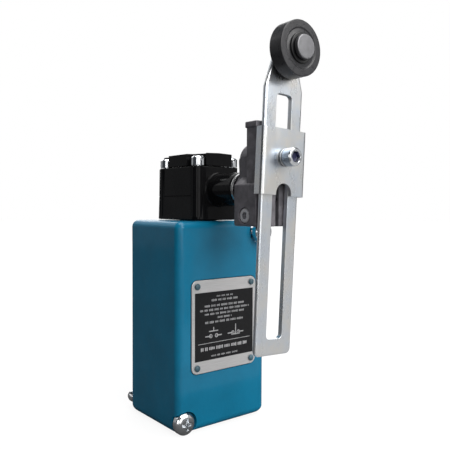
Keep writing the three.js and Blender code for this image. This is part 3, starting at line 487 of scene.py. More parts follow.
PHENOLIC = plastic_look("phenolic", (0.020, 0.014, 0.010), 0.45, 0.7, 0.03, 0.3)


# ---- box ----
def rear_outline(margin):
    """Rebate of the rear plate, its opposite corners cut away, drawn in by a margin."""
    x = REBATE_X - margin
    low = REBATE_LOW + margin
    high = REBATE_HIGH - margin
    cut_in = REBATE_CUT - margin * 0.6
    corners = [(-x, low + cut_in), (-x + cut_in, low), (x, low),
               (x, high - cut_in), (x - cut_in, high), (-x, high)]
    return rounded([(u, v, 0.5) for u, v in corners], 3)


def inlet_tool():
    """Plug with rounded thread ridges and a countersunk mouth, to cut the conduit inlet."""
    profile = [(0, -1), (INLET_RADIUS + 0.9, -1), (INLET_RADIUS + 0.9, 0.0), (INLET_RADIUS + 0.25, 0.7)]
    z = 0.7
    while z + THREAD_PITCH < INLET_DEPTH:
        profile += [(INLET_RADIUS - 0.45, z + 0.5), (INLET_RADIUS - 0.45, z + 0.75),
                    (INLET_RADIUS + 0.45, z + 1.35), (INLET_RADIUS + 0.45, z + 1.5)]
        z += THREAD_PITCH
    profile += [(INLET_RADIUS - 0.3, z + 0.4), (INLET_RADIUS - 0.3, INLET_DEPTH + 1), (0, INLET_DEPTH + 1)]
    return lathe(profile, "z", 0, INLET_Y, 64)


def box_block():
    """Stacked rounded rectangles, drawn in at both ends, with rounder corners towards the underside."""
    steps = 6
    levels = []
    for i in range(steps + 1):
        angle = math.pi / 2 * i / steps
        fade = 1 - math.sin(angle)
        levels.append((LOW_HEIGHT * (1 - math.cos(angle)), LOW_EDGE * fade, LOW_CORNER * fade))
    for i in range(steps + 1):
        angle = math.pi / 2 * (steps - i) / steps
        levels.append((HEIGHT - TOP_EDGE * (1 - math.cos(angle)), TOP_EDGE * (1 - math.sin(angle)), 0))
    rings = []
    for z, draw_in, extra in levels:
        x = WIDTH / 2 - draw_in
        outline = rounded_rect(-x, x, draw_in, DEPTH - draw_in, CORNER - draw_in + extra, 8)
        rings.append([(u, v, z) for u, v in outline])
    return loft(rings)


def build_housing():
    half = WIDTH / 2
    thing = object_from(box_block())
    cavity = object_from(box(-half + WALL, half - WALL, WALL, DEPTH + 1, WALL, HEIGHT - ROOF))
    cut(cavity, box(-half, -half + POST, 0, DEPTH + 2, 0, POST),
        box(half - POST, half, 0, DEPTH + 2, HEIGHT - POST, HEIGHT))
    cut(cavity, rod("z", 0, INLET_Y, INLET_BOSS, 0, INLET_DEPTH))
    for x, z in REAR_SCREWS:
        side = math.copysign(1, x)
        near, far = sorted((x - side * LUG, side * half))
        low = 0 if z < 10 else z - LUG
        high = HEIGHT if z > 70 else z + LUG
        cut(cavity, box(near, far, LUG_FRONT, DEPTH + 2, low, high))
    cut(thing, cavity)
    cut(thing, slab(rear_outline(0), DEPTH - REBATE_DEPTH, DEPTH + 1, "y"))
    cut(thing, inlet_tool())
    cut(thing, rod("z", 0, PLUNGER_Y, SPIGOT_HOLE, 70, HEIGHT + 1, 48))
    for x, z in ((-MOUNT_X, MOUNT_LOW), (MOUNT_X, MOUNT_HIGH)):
        cut(thing, rod("y", x, z, 2.7, -1, DEPTH + 1, 32))
        floor = [(0, -1), (MOUNT_RECESS, -1), (MOUNT_RECESS, MOUNT_RECESS_DEPTH - 0.5),
                 (MOUNT_RECESS - 0.5, MOUNT_RECESS_DEPTH), (0, MOUNT_RECESS_DEPTH)]
        cut(thing, lathe(floor, "y", x, z, 56))
    for x, z in REAR_SCREWS:
        cut(thing, rod("y", x, z, 1.4, DEPTH - 9, DEPTH + 1, 20))
    for x in (-RIVET_X, RIVET_X):
        for z in (RIVET_LOW, RIVET_HIGH):
            cut(thing, rod("y", x, z, 1.05, -1, 4.4, 20))
    pocket = rounded_rect(-PLATE_X - GAP, PLATE_X + GAP, PLATE_LOW - GAP, PLATE_HIGH + GAP, 2.9)
    cut(thing, slab(pocket, -1, 0.9, "y"))
    soften(thing, 0.22, 2, 40)
    deliver(thing, "box_casting", "base", PAINT, ["housing"])


def build_rear_plate():
    front = DEPTH - REBATE_DEPTH + 1.0
    thing = object_from(slab(rear_outline(GAP), front, DEPTH, "y", 0, 0.3, 3))
    for x, z in REAR_SCREWS:
        sink = [(0, front - 1), (1.4, front - 1), (1.4, DEPTH - 1.8),
                (2.5, DEPTH - 0.7), (2.5, DEPTH + 1), (0, DEPTH + 1)]
        cut(thing, lathe(sink, "y", x, z, 32))
    soften(thing, 0.12, 2)
    deliver(thing, "rear_cover_plate", "base", PAINT, ["rear_plate"])


def cross_tool(axis_point, mouth, floor, reach, width):
    """Tapered cross recess along y, wide at its mouth and narrow at its floor."""
    x, z = axis_point
    tools = []
    for flat in (True, False):
        rings = []
        for y, scale in ((mouth, 1.0), (floor, 0.45)):
            arm, blade = reach * scale, width * (0.6 + 0.4 * scale)
            a, b = (arm, blade) if flat else (blade, arm)
            rings.append([(x - a, y, z - b), (x + a, y, z - b), (x + a, y, z + b), (x - a, y, z + b)])
        tools.append(loft(rings))
    return tools


def threaded_profile(radius, depth, pitch, start, end, segments=28, samples=6):
    """Rings of a helical thread along y, from start to end, closed by pointed run-outs."""
    rings = []
    count = max(2, round((end - start) / pitch * samples))
    for k in range(count + 1):
        y = start + (end - start) * k / count
        ring = []
        for i in range(segments):
            phase = (k / samples - i / segments) % 1.0
            ridge = abs(phase * 2 - 1)
            fade = min(1.0, (end - y) / pitch * 0.8, (y - start) / pitch * 0.8 + 0.05)
            r = radius - depth * (1 - ridge * fade)
            angle = 2 * math.pi * i / segments
            ring.append((r * math.cos(angle), y, r * math.sin(angle)))
        rings.append(ring)
    return rings


def build_mount_screw(name, x, z, front, node):
    under = front + MOUNT_HEAD_HEIGHT
    head = rounded([(0, front, 0), (MOUNT_HEAD * 0.74, front + 0.3, 2.5), (MOUNT_HEAD, front + 1.5, 0.7),
                    (MOUNT_HEAD, under, 0.3), (MOUNT_SHANK, under, 0.0), (MOUNT_SHANK, under + 2.0, 0),
                    (0, under + 2.0, 0)], 8)
    thing = object_from(lathe(head, "y", x, z, 64))
    cut(thing, *cross_tool((x, z), front - 0.3, front + 2.4, 2.6, 0.62))
    soften(thing, 0.1, 2)
    shank = threaded_profile(MOUNT_SHANK, 0.42, 0.794, under - 0.2, under + MOUNT_LENGTH)
    shank = object_from(loft([[(x + a, y, z + b) for a, y, b in ring] for ring in shank]))
    join_meshes(thing, shank)
    deliver(thing, name, "base", BRIGHT, [node], None, 42)


def join_meshes(thing, *others):
    """Adds other meshes to a thing without merging them."""
    work = bmesh.new()
    work.from_mesh(thing.data)
    for other in others:
        work.from_mesh(other.data)
        bpy.data.objects.remove(other)
    work.to_mesh(thing.data)
    work.free()
    return thing


def build_rear_screws():
    for index, (x, z) in enumerate(REAR_SCREWS):
        head = DEPTH - 0.1
        profile = [(0, DEPTH - 8), (1.1, DEPTH - 8), (1.1, DEPTH - 1.7), (2.15, DEPTH - 0.5),
                   (2.2, head - 0.1), (2.1, head), (0, head)]
        thing = object_from(lathe(profile, "y", x, z, 40))
        cut(thing, *cross_tool((x, z), head + 0.1, head - 1.0, 1.35, 0.32))
        soften(thing, 0.05, 1)
        deliver(thing, f"rear_screw_{index + 1}", "base", FASTENER,
                [f"rear_plate_screw_{index + 1}"])


def build_nameplate():
    outline = rounded_rect(-PLATE_X, PLATE_X, PLATE_LOW, PLATE_HIGH, 2.6, 8)
    thing = object_from(slab(outline, PLATE_FRONT, PLATE_FRONT + PLATE_THICK, "y", 0.15, 0, 3))
    cut(thing, box(-FIELD_X, FIELD_X, PLATE_FRONT - 1, PLATE_FRONT + 0.12, FIELD_LOW, FIELD_HIGH))
    for x in (-RIVET_X, RIVET_X):
        for z in (RIVET_LOW, RIVET_HIGH):
            cut(thing, rod("y", x, z, 1.0, -3, 3, 20))
    deliver(thing, "nameplate_sheet", "base", PLATE, ["nameplate"])
    field = slab(rounded_rect(-FIELD_X + 0.02, FIELD_X - 0.02, FIELD_LOW + 0.02, FIELD_HIGH - 0.02, 0.2, 2),
                 PLATE_FRONT + 0.06, PLATE_FRONT + 0.13, "y")
    deliver(object_from(field), "nameplate_field", "base", FIELD_INK)
    deliver(build_print(), "nameplate_print", "base", PRINT_INK)


def build_print():
    """Rows of plain dashes where a rating plate has small print, and a contact diagram. It spells nothing."""
    random.seed(7)
    front, back = PLATE_FRONT + 0.03, PLATE_FRONT + 0.07
    strokes = []
    rows = [(51.2, 0.34, 4.0), (49.7, 0.46, 6.5), (47.6, 0.44, 9.8), (46.0, 0.44, 12.0), (44.4, 0.44, 9.8),
            (42.8, 0.40, 3.5), (41.2, 0.46, 9.6), (31.0, 0.70, 11.6), (28.0, 0.36, 6.5)]
    for z, height, reach in rows:
        x = -reach
        while x < reach:
            stop = min(x + 1.0 + random.random() * 2.2, reach)
            while x < stop:
                tall = height * (0.7 + 0.3 * random.random())
                strokes.append(box(x, x + height * 0.7, front, back, z - tall, z + tall))
                x += height * 0.7 + 0.22
            x += 0.55
    z = 35.8
    ring = [(0.45, front), (0.8, front), (0.8, back), (0.45, back)]
    for x, bar, bar_top in ((-9.5, z + 1.7, z + 2.1), (1.5, z - 0.9, z - 0.5)):
        strokes.append(box(x, x + 2.6, front, back, z - 0.22, z + 0.22))
        strokes.append(box(x + 5.4, x + 8.0, front, back, z - 0.22, z + 0.22))
        strokes.append(box(x + 1.8, x + 6.2, front, back, bar, bar_top))
        strokes.append(box(x + 3.8, x + 4.2, front, back, bar_top, z + 3.4))
        strokes += [lathe(ring, "y", x + side, z, 20) for side in (2.6, 5.4)]
    strokes.append(box(-FIELD_X + 1.6, FIELD_X - 1.6, front, back, 33.1, 33.3))
    first = object_from(strokes[0])
    return join_meshes(first, *[object_from(stroke) for stroke in strokes[1:]])


def build_rivets():
    index = 0
    for x in (-RIVET_X, RIVET_X):
        for z in (RIVET_LOW, RIVET_HIGH):
            index += 1
            under = -0.65
            dome = arc(0, under + 0.35, 1.25, -90, 0, 8)
            dome = [(r, under - 0.75 + (h - (under - 0.9)) * 0.6) for r, h in dome]
            profile = dome + [(1.25, under), (0.75, under), (0.75, 4.0), (0, 4.0)]
            thing = object_from(lathe(profile, "y", x, z, 32))
            deliver(thing, f"drive_rivet_{index}", "base", RIVET,
                    [f"nameplate_rivet_{index}"])


# ---- turret head ----
def head_block():
    """Rounded block of the head that widens at its base, with a fine raised line where the mould parted."""
    outline = rounded_rect(-HEAD_X, HEAD_X, HEAD_FRONT, HEAD_REAR, HEAD_CORNER, 10)
    rings = []
    steps = 4
    for i in range(steps + 1):
        angle = math.pi / 2 * i / steps
        rings.append((HEAD_BASE + HEAD_LOW_EDGE * (1 - math.cos(angle)),
                      HEAD_LOW_EDGE * (1 - math.sin(angle)) - HEAD_GROWTH))
    rings += [(PARTING - 0.12, -0.12), (PARTING, 0.1), (PARTING + 0.12, -0.12)]
    for i in range(steps + 1):
        angle = math.pi / 2 * (steps - i) / steps
        rings.append((HEAD_TOP - HEAD_HIGH_EDGE * (1 - math.cos(angle)),
                      HEAD_HIGH_EDGE * (1 - math.sin(angle))))
    return loft([[(u, v, h) for u, v in inset(outline, d)] for h, d in rings])


def build_head_housing():
    thing = object_from(head_block())
    boss = rounded([(0, 10.0, 0), (9.4, 10.0, 0), (9.4, HEAD_FRONT + 0.5, 0),
                    (BOSS_RADIUS, HEAD_FRONT - 0.1, 1.2), (BOSS_RADIUS, BOSS_END, 0.5), (0, BOSS_END, 0)], 6)
    join(thing, lathe(boss, "y", 0, SHAFT_Z, 72))
    join(thing, rod("z", 0, PLUNGER_Y, SPIGOT, 77.2, HEAD_BASE + 2, 48))
    cut(thing, box(-8.5, 8.5, 7.2, 31.0, 83.6, HEAD_TOP + 1))
    for x, y in HEAD_SCREWS:
        join(thing, rod("z", x, y, 2.9, 82.0, HEAD_TOP, 24))
        cut(thing, rod("z", x, y, 1.75, HEAD_TOP - 9.6, HEAD_TOP + 1, 20))
    bore = [(0, BOSS_END - 1), (5.5, BOSS_END - 1), (5.5, HEAD_FRONT + 1),
            (4.3, HEAD_FRONT + 1), (4.3, 9), (0, 9)]
    cut(thing, lathe(bore, "y", 0, SHAFT_Z, 48))
    cut(thing, rod("y", 0, SHAFT_Z, 3.3, 30, 32.5, 32))
    well = [(0, 76), (2.6, 76), (2.6, 78.6), (5.6, 78.6), (5.6, 85), (0, 85)]
    cut(thing, lathe(well, "z", 0, PLUNGER_Y, 40))
    deliver(thing, "turret_housing", "base", ENAMEL, ["head_housing"], None, 32)


def build_head_cover():
    low = HEAD_TOP + GAP
    wide = HEAD_X + 1
    ridge = [(-wide, low - 1), (wide, low - 1), (wide, COVER_SIDE), (0, COVER_TOP), (-wide, COVER_SIDE)]
    outline = rounded_rect(-HEAD_X, HEAD_X, HEAD_FRONT, HEAD_REAR, HEAD_CORNER, 10)
    thing = object_from(slab(outline, low, COVER_TOP + 1, "z"))
    combine(thing, "INTERSECT", slab(ridge, HEAD_FRONT - 1, HEAD_REAR + 1, "y"))
    far = HEAD_X + 6
    for side in (-1, 1):
        near, end = sorted((side * NOTCH_X, side * far))
        front = rounded_rect(near, end, HEAD_FRONT - 6, FRONT_NOTCH, 1.2)
        rear = rounded_rect(near, end, REAR_NOTCH, HEAD_REAR + 6, 1.2)
        cut(thing, slab(front, low - 1, COVER_TOP + 2, "z"), slab(rear, low - 1, COVER_TOP + 2, "z"))
    for x, y in HEAD_SCREWS:
        cut(thing, rod("z", x, y, 3.3, low - 1, COVER_TOP + 2, 40))
    soften(thing, 0.4, 3, 30)
    deliver(thing, "turret_cover", "base", ENAMEL, ["head_cover"], None, 32)


def build_head_screws():
    seat = HEAD_TOP + GAP
    top = seat + 3.9
    for index, (x, y) in enumerate(HEAD_SCREWS):
        profile = rounded([(0, HEAD_TOP - 9, 0), (1.45, HEAD_TOP - 9, 0.2), (1.45, seat, 0),
                           (2.8, seat, 0.15), (2.8, top - 0.9, 0.5), (1.9, top - 0.15, 0.8),
                           (0, top, 0)], 5)
        thing = object_from(lathe(profile, "z", x, y, 48))
        cut(thing, box(x - 0.45, x + 0.45, y - 3.2, y + 3.2, top - 1.5, top + 1))
        soften(thing, 0.07, 2)
        deliver(thing, f"turret_screw_{index + 1}", "base", BRIGHT,
                [f"head_screw_{index + 1}"])


def build_bushing():
    profile = rounded([(4.3, -12.5, 0.2), (6.3, -12.5, 0.35), (6.3, -11.3, 0.25),
                       (5.2, -11.3, 0), (5.2, -1, 0.2), (4.3, -1, 0.2)], 4)
    deliver(object_from(lathe(profile, "y", 0, SHAFT_Z, 64)), "bushing_ring", "base", RING,
            ["shaft_bushing"])


def build_shaft():
    front = -28.7
    profile = rounded([(0, front + 0.5, 0), (0.8, front, 0), (SHAFT_RADIUS, front, 0.5),
                       (SHAFT_RADIUS, 24, 0.2), (3.0, 24, 0.2), (3.0, 32.2, 0.3), (0, 32.2, 0)], 4)
    deliver(object_from(lathe(profile, "y", 0, SHAFT_Z, 56)), "operating_shaft", "rotor", DARK,
            ["shaft"])


# ---- lever hub ----
def build_hub():
    w = HUB_X
    lower = rounded([(-w, HUB_BOTTOM, 0.8), (w, HUB_BOTTOM, 0.8), (w, HUB_SHOULDER, 0.8),
                     (HUB_BOSS, HUB_SHOULDER_TOP, 0.8), (-HUB_BOSS, HUB_SHOULDER_TOP, 0.8),
                     (-w, HUB_SHOULDER, 0.8)], 3)
    thing = object_from(slab(lower, HUB_FRONT, HUB_LOWER_REAR, "y", 0.3, 0.7, 3))
    upper = rounded_rect(-w + 0.4, w - 0.4, HUB_SHOULDER - 6, HUB_TOP - 0.5, 0.6, 3)
    join(thing, slab(upper, HUB_FRONT, HUB_UPPER_REAR, "y", 0.3, 0.5, 3))
    lip = rounded_rect(-w, w, HUB_TOP - HUB_LIP, HUB_TOP, 0.45, 3)
    join(thing, slab(lip, HUB_FRONT, HUB_UPPER_REAR + 0.3, "y", 0.3, 0.4, 3))
    join(thing, box(-6.6, 6.6, HUB_FRONT - 0.5, HUB_FRONT + 1, HUB_BOTTOM + 0.3, HUB_TOP - 3))
    cut(thing, box(HUB_NOTCH_X, w + 1, HUB_FRONT - 2, HUB_UPPER_REAR + 1, HUB_NOTCH_Z, HUB_TOP + 1))
    boss = rounded([(0, HUB_FRONT + 1, 0), (HUB_BOSS, HUB_FRONT + 1, 0), (HUB_BOSS, HUB_BOSS_REAR, 1.6),
                    (0, HUB_BOSS_REAR, 0)], 5)
    join(thing, lathe(boss, "y", 0, PIVOT_Z, 48))
    web = rounded([(HUB_FRONT + 1, HUB_SHOULDER - 1, 0), (HUB_LOWER_REAR + 0.6, HUB_SHOULDER - 1, 0),
                   (HUB_BOSS_REAR - 0.4, PIVOT_Z + 1, 1.5), (HUB_FRONT + 1, PIVOT_Z + 1, 0)], 4)
    join(thing, slab(web, -HUB_BOSS, HUB_BOSS, "x"))
    barrel = rounded([(0, HUB_LOWER_REAR - 1, 0), (HUB_BARREL, HUB_LOWER_REAR - 1, 0),
                      (HUB_BARREL, HUB_BARREL_REAR, 0.5), (0, HUB_BARREL_REAR, 0)], 4)
    join(thing, lathe(barrel, "y", 0, SHAFT_Z, 56))
    cut(thing, rod("y", 0, SHAFT_Z, SHAFT_RADIUS + GAP, HUB_FRONT + 0.3, HUB_BARREL_REAR + 1, 48))
    cut(thing, box(-0.8, 0.8, HUB_FRONT - 2, HUB_BARREL_REAR + 1, HUB_BOTTOM - 1, SHAFT_Z))
    cut(thing, rod("x", CLAMP_Y, CLAMP_Z, 1.8, -w - 1, w + 1, 24))
    cut(thing, rod("x", CLAMP_Y, CLAMP_Z, 2.9, -w - 1, -w + 3.4, 40))
    cut(thing, rod("y", 0, PIVOT_Z, BOLT_HOLE, HUB_FRONT - 2, HUB_BOSS_REAR + 1, 32))
    cut(thing, box(-NUT_POCKET, NUT_POCKET, HUB_BOSS_REAR - 3.6, HUB_BOSS_REAR + 1,
                   PIVOT_Z - NUT_POCKET, PIVOT_Z + NUT_POCKET))
    soften(thing, 0.22, 2, 36)
    deliver(thing, "hub_casting", "rotor", CASTING, ["lever_hub"], None, 34)


def build_clamp_screw():
    start = -HUB_X
    profile = rounded([(0, start + 0.3, 0), (2.6, start + 0.3, 0.25), (2.6, start + 3.1, 0.1),
                       (1.5, start + 3.1, 0), (1.5, HUB_X - 0.8, 0.3), (0, HUB_X - 0.8, 0)], 4)
    thing = object_from(lathe(profile, "x", CLAMP_Y, CLAMP_Z, 40))
    cut(thing, rod("x", CLAMP_Y, CLAMP_Z, 1.35, start - 1, start + 1.9, 6))
    soften(thing, 0.06, 2)
    deliver(thing, "clamp_screw", "rotor", CLAMP_STEEL, ["hub_clamp_screw"])


def build_nut():
    front = HUB_BOSS_REAR - 3.3
    outline = rounded_rect(-NUT, NUT, PIVOT_Z - NUT, PIVOT_Z + NUT, 0.35, 3)
    thing = object_from(slab(outline, front, HUB_BOSS_REAR - 0.2, "y", 0, 0.35, 3))
    hole = [(0, front - 1), (2.15, front - 1), (2.15, HUB_BOSS_REAR - 0.7), (2.6, HUB_BOSS_REAR),
            (0, HUB_BOSS_REAR)]
    cut(thing, lathe(hole, "y", 0, PIVOT_Z, 32))
    deliver(thing, "square_nut", "rotor", FASTENER, ["saddle_nut"])


# ---- arm, saddle and roller ----
def arm_outline():
    side = [(ARM_BOTTOM_X, ARM_BOTTOM, 1.9), (ARM_X, 90, 30), (ARM_X, 127.2, 4.5)]
    neck = arc(0, ROLLER_Z, NECK, -22, 202, 24)
    right = rounded([(0, ARM_BOTTOM, 0)] + side + [(neck[0][0], neck[0][1], 0)], 6)
    left = [(-x, z) for x, z in reversed(right[1:-1])]
    return right[1:-1] + neck + left


def build_arm():
    back = ARM_FRONT + ARM_THICK
    thing = object_from(slab(arm_outline(), ARM_FRONT, back, "y", ARM_ROLL, ARM_ROLL, 6, 1.5))
    slot = rounded_rect(-SLOT_X, SLOT_X, SLOT_LOW, SLOT_HIGH, 1.5, 6)
    cut(thing, slab(slot, ARM_FRONT - 1, back + 1, "y"))
    cut(thing, rod("y", 0, ROLLER_Z, AXLE_HOLE, ARM_FRONT - 1, back + 1, 32))
    soften(thing, 0.16, 3, 50)
    deliver(thing, "lever_arm", "arm", ZINC, ["slotted_arm"], LEVER, 40)


def build_saddle():
    w, inner = SADDLE_X, SADDLE_X - SADDLE_FLANGE
    back = SADDLE_FRONT + SADDLE_PLATE
    outline = rounded([(-w, SADDLE_REAR, 0.2), (-w, SADDLE_FRONT, BEND), (w, SADDLE_FRONT, BEND),
                       (w, SADDLE_REAR, 0.2), (inner, SADDLE_REAR, 0.2), (inner, back, 0.35),
                       (-inner, back, 0.35), (-inner, SADDLE_REAR, 0.2)], 8)
    thing = object_from(slab(outline, SADDLE_LOW, SADDLE_HIGH, "z"))
    arch = [(-ARCH_X, SADDLE_LOW - 2), (ARCH_X, SADDLE_LOW - 2)]
    arch += arc(0, ARCH_TOP - ARCH_X, ARCH_X, 0, 180, 20)
    cut(thing, slab(arch, SADDLE_FRONT - 1, back + 0.5, "y"))
    cut(thing, rod("y", 0, PIVOT_Z, BOLT_HOLE, SADDLE_FRONT - 1, back + 1, 32))
    soften(thing, 0.45, 3, 40)
    deliver(thing, "arm_saddle", "rotor", ZINC, ["saddle_clamp"], LEVER, 34)


def build_lock_washer():
    """Split spring washer: one turn of square wire with a small rise between its ends."""
    middle, half, rise, steps = 2.7, 0.45, 0.25, 56
    front = SADDLE_FRONT - GAP - 0.8
    rings = []
    for k in range(steps + 1):
        angle = math.radians(95 + 350 * k / steps)
        shift = rise * k / steps
        section = [(middle - half, front), (middle + half, front), (middle + half, front + 0.55),
                   (middle - half, front + 0.55)]
        rings.append([(r * math.cos(angle), y + shift, PIVOT_Z + r * math.sin(angle)) for r, y in section])
    thing = object_from(loft(rings))
    deliver(thing, "spring_washer", "rotor", FASTENER, ["saddle_lock_washer"], None, 30)


def build_cap_screw():
    """Knurled cap screw with a six-sided socket: the bright screw finish on its face, and a darker copy of
    its steel behind it as painted shade.
    """
    end, seat, radius = -39.1, -35.2, 3.2
    ridges = 36
    rings = []
    levels = [(end, radius - 0.55, 0), (end + 0.05, radius - 0.42, 0), (end + 0.5, radius - 0.06, 0),
              (end + 0.9, radius, 1), (seat - 0.35, radius, 1), (seat - 0.1, radius - 0.06, 0),
              (seat, radius - 0.2, 0)]
    for y, r, knurl in levels:
        ring = []
        for i in range(ridges * 4):
            angle = 2 * math.pi * i / (ridges * 4)
            depth = 0.05 * knurl * (0.5 - 0.5 * math.cos(ridges * angle))
            ring.append(((r - depth) * math.cos(angle), y, PIVOT_Z + (r - depth) * math.sin(angle)))
        rings.append(ring)
    thing = object_from(loft(rings))
    socket = [(0, end + 2.9), (1.9, end + 2.6), (2.1, end + 2.6), (2.1, end - 1), (0, end - 1)]
    cut(thing, lathe(socket, "y", 0, PIVOT_Z, 6))
    mouth = [(0, end - 0.5), (2.5, end - 0.5), (2.0, end + 0.18), (0, end + 0.18)]
    cut(thing, lathe(mouth, "y", 0, PIVOT_Z, 48))
    shank = threaded_profile(1.9, 0.35, 0.7, seat - 0.2, -16.2, 24, 6)
    shank = object_from(loft([[(a, y, PIVOT_Z + b) for a, y, b in ring] for ring in shank]))
    join_meshes(thing, shank)
    deliver(thing, "socket_cap_screw", "rotor", CAP_SIDE_SHADE, ["saddle_cap_screw"], None, 32)
    # faces in front of bright_from take the bright screw finish, the rest the darker copy: a painted split
    # into lit face and shaded side
    thing.data.materials.append(BRIGHT)
    bright_from = BOX_LOW.y + (end + 0.6) * MM
    for face in thing.data.polygons:
        face.material_index = int(face.center.y < bright_from)
    # a dark disc at the floor of the socket, no real part: painted shade
    socket_shade_disc = object_from(rod("y", 0, PIVOT_Z, 1.72, end + 1.3, end + 2.55, 24))
    deliver(socket_shade_disc, "socket_shade", "rotor", SOCKET_BLUE)


def build_roller():
    f, b, r = ROLLER_FRONT, ROLLER_REAR, ROLLER_RADIUS
    profile = rounded([(4.6, f + 0.1, 0.1), (6.6, f + 0.35, 0.2), (7.0, f, 0.2), (r, f, 0.3), (r, b, 0.3),
                       (6.8, b, 0.2), (6.4, b - 0.3, 0.1), (4.6, b - 0.1, 0.1)], 5)
    deliver(object_from(lathe(profile, "y", 0, ROLLER_Z, 96)), "roller_wheel", "roller",
            ROLLER, ["roller"], LEVER, 30)
    hub = rounded([(AXLE_HOLE, f - 0.6, 0.1), (5.2, f - 0.6, 0.3), (5.2, f + 0.3, 0.1), (4.5, f + 0.3, 0.1),
                   (4.5, b - 0.3, 0.1), (5.2, b - 0.3, 0.1), (5.2, b + 0.8, 0.3),
                   (AXLE_HOLE, b + 0.8, 0.1)], 4)
    deliver(object_from(lathe(hub, "y", 0, ROLLER_Z, 72)), "roller_hub", "roller",
            HUB_BLACK, (), LEVER, 30)


def build_roller_pin():
    front, rear, back = -41.6, -40.1, ARM_FRONT + ARM_THICK + GAP
    profile = rounded([(0, front, 0), (4.15, front, 0.35), (4.15, rear, 0.2), (2.2, rear, 0),
                       (2.2, back, 0), (3.6, back, 0.15), (3.2, -29.0, 0.5), (0, -28.9, 0)], 4)
    deliver(object_from(lathe(profile, "y", 0, ROLLER_Z, 56)), "roller_axle", "arm", PIN,
            ["roller_pin"], LEVER, 34)


# ---- springs, and the finishes of the nodes that keep their own shape ----
def spring_mesh(axis, a, b, radius, wire, low, high, turns):
    """Round wire in a helix, with its ends closed flat."""
    point = AXES[axis]
    steps, sides = int(turns * 28), 10
    rings = []
    for k in range(steps + 1):
        angle = 2 * math.pi * turns * k / steps
        height = low + (high - low) * k / steps
        ring = []
        for i in range(sides):
            around = 2 * math.pi * i / sides
            r = radius + wire * math.cos(around)
            ring.append(point(a + r * math.cos(angle), b + r * math.sin(angle),
                              height + wire * math.sin(around)))
        rings.append(ring)
    return loft(rings)


def build_springs():
    low, high = 79.4, 84.6
    thing = object_from(spring_mesh("z", 0, PLUNGER_Y, 3.9, 0.4, low, high, 3.5))
    deliver(thing, "plunger_coil", "base", SPRING, ["plunger_spring"], None, 60)
    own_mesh(thing)
    thing = object_from(spring_mesh("y", 0, SHAFT_Z, 5.4, 0.45, 10.7, 13.7, 2.5))
    deliver(thing, "return_coil", "base", SPRING, ["return_spring"], None, 60)


SLOT_LOOKS = {
    "body_paint": PAINT, "seal_rubber": RUBBER, "zinc_fasteners": FASTENER, "bright_screws": BRIGHT,
    "nameplate_aluminium": PLATE, "rivet_aluminium": RIVET, "head_enamel": ENAMEL, "bushing_steel": RING,
    "contact_bronze": BRONZE, "dark_steel": DARK, "spring_steel": SPRING, "hub_casting": CASTING,
    "lever_zinc": ZINC, "pin_steel": PIN, "roller_plastic": ROLLER, "plunger_plastic": ACETAL,
    "phenolic": PHENOLIC, "terminal_brass": BRASS,
}


def finish_frame_nodes():
    """Gives every node of the frame the look of its slot, for those that no piece replaces."""
    for part in frame["record"]["subparts"]:
        node = frame["nodes"][part["node"]]
        node.data.materials.clear()
        node.data.materials.append(SLOT_LOOKS[part["material_slot"]])


# ---- stage, camera and light ----
def build_camera():
    """Camera low and to the front left, placed in the same millimetres as the pieces."""
    place = BODY @ Vector((-136.84, -174.32, 85.91))
    turn, tip, roll = math.radians(-38.17), math.radians(-1.83), math.radians(0.2)
    ahead = Vector((-math.sin(turn) * math.cos(tip), math.cos(turn) * math.cos(tip), math.sin(tip)))
    right = ahead.cross(Vector((0, 0, 1))).normalized()
    above = right.cross(ahead)
    across = right * math.cos(roll) + above * math.sin(roll)
    upward = above * math.cos(roll) - right * math.sin(roll)
    data = bpy.data.cameras.new("camera")
    data.lens = 45.06
    data.sensor_width = 36
    data.clip_start = 0.01
    camera = bpy.data.objects.new("camera", data)
    rotation = Matrix((across, upward, -ahead)).transposed().to_4x4()
    camera.matrix_world = Matrix.Translation(place) @ rotation
    bpy.context.scene.collection.objects.link(camera)
    bpy.context.scene.camera = camera


def area_light(name, place, target, size, power, color=(1, 1, 1)):
    data = bpy.data.lights.new(name, "AREA")
    data.shape = "RECTANGLE"
    data.size, data.size_y = size
    data.energy = power
    data.color = color
    lamp = bpy.data.objects.new(name, data)
    lamp.location = place
    lamp.rotation_euler = (Vector(target) - Vector(place)).to_track_quat("-Z", "Y").to_euler()
    lamp.visible_camera = False
    bpy.context.scene.collection.objects.link(lamp)


def build_stage():
    """Pale floor whose own glow, seen by the camera only, fades it into the background away from the part."""
    floor_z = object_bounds()[0].z
    floor = object_from(box(-3, 3, -3, 3, floor_z - 0.01, floor_z), "floor")
    look = Look("pale_floor", (0.08, 0.08, 0.082), 0.9)
    look.tint(look.noise(60, 2), 0.02)
    tree = look.tree
    place = tree.nodes.new("ShaderNodeTexCoord")
    distance = tree.nodes.new("ShaderNodeVectorMath")
    distance.operation = "LENGTH"
    rays = tree.nodes.new("ShaderNodeLightPath")
    strength = tree.nodes.new("ShaderNodeMath")
    strength.operation = "MULTIPLY"
    glow = tree.nodes.new("ShaderNodeEmission")
    total = tree.nodes.new("ShaderNodeAddShader")
    tree.links.new(place.outputs["Object"], distance.inputs[0])
    faded = look.spread(distance.outputs["Value"], GLOW_NEAR, 1.0, GLOW_START, GLOW_END)
    tree.links.new(faded, strength.inputs[0])
    tree.links.new(rays.outputs["Is Camera Ray"], strength.inputs[1])
    tree.links.new(strength.outputs[0], glow.inputs["Strength"])
    tree.links.new(look.shader.outputs[0], total.inputs[0])
    tree.links.new(glow.outputs[0], total.inputs[1])
    tree.links.new(total.outputs[0], tree.nodes["Material Output"].inputs["Surface"])
    floor.data.materials.append(look.material)


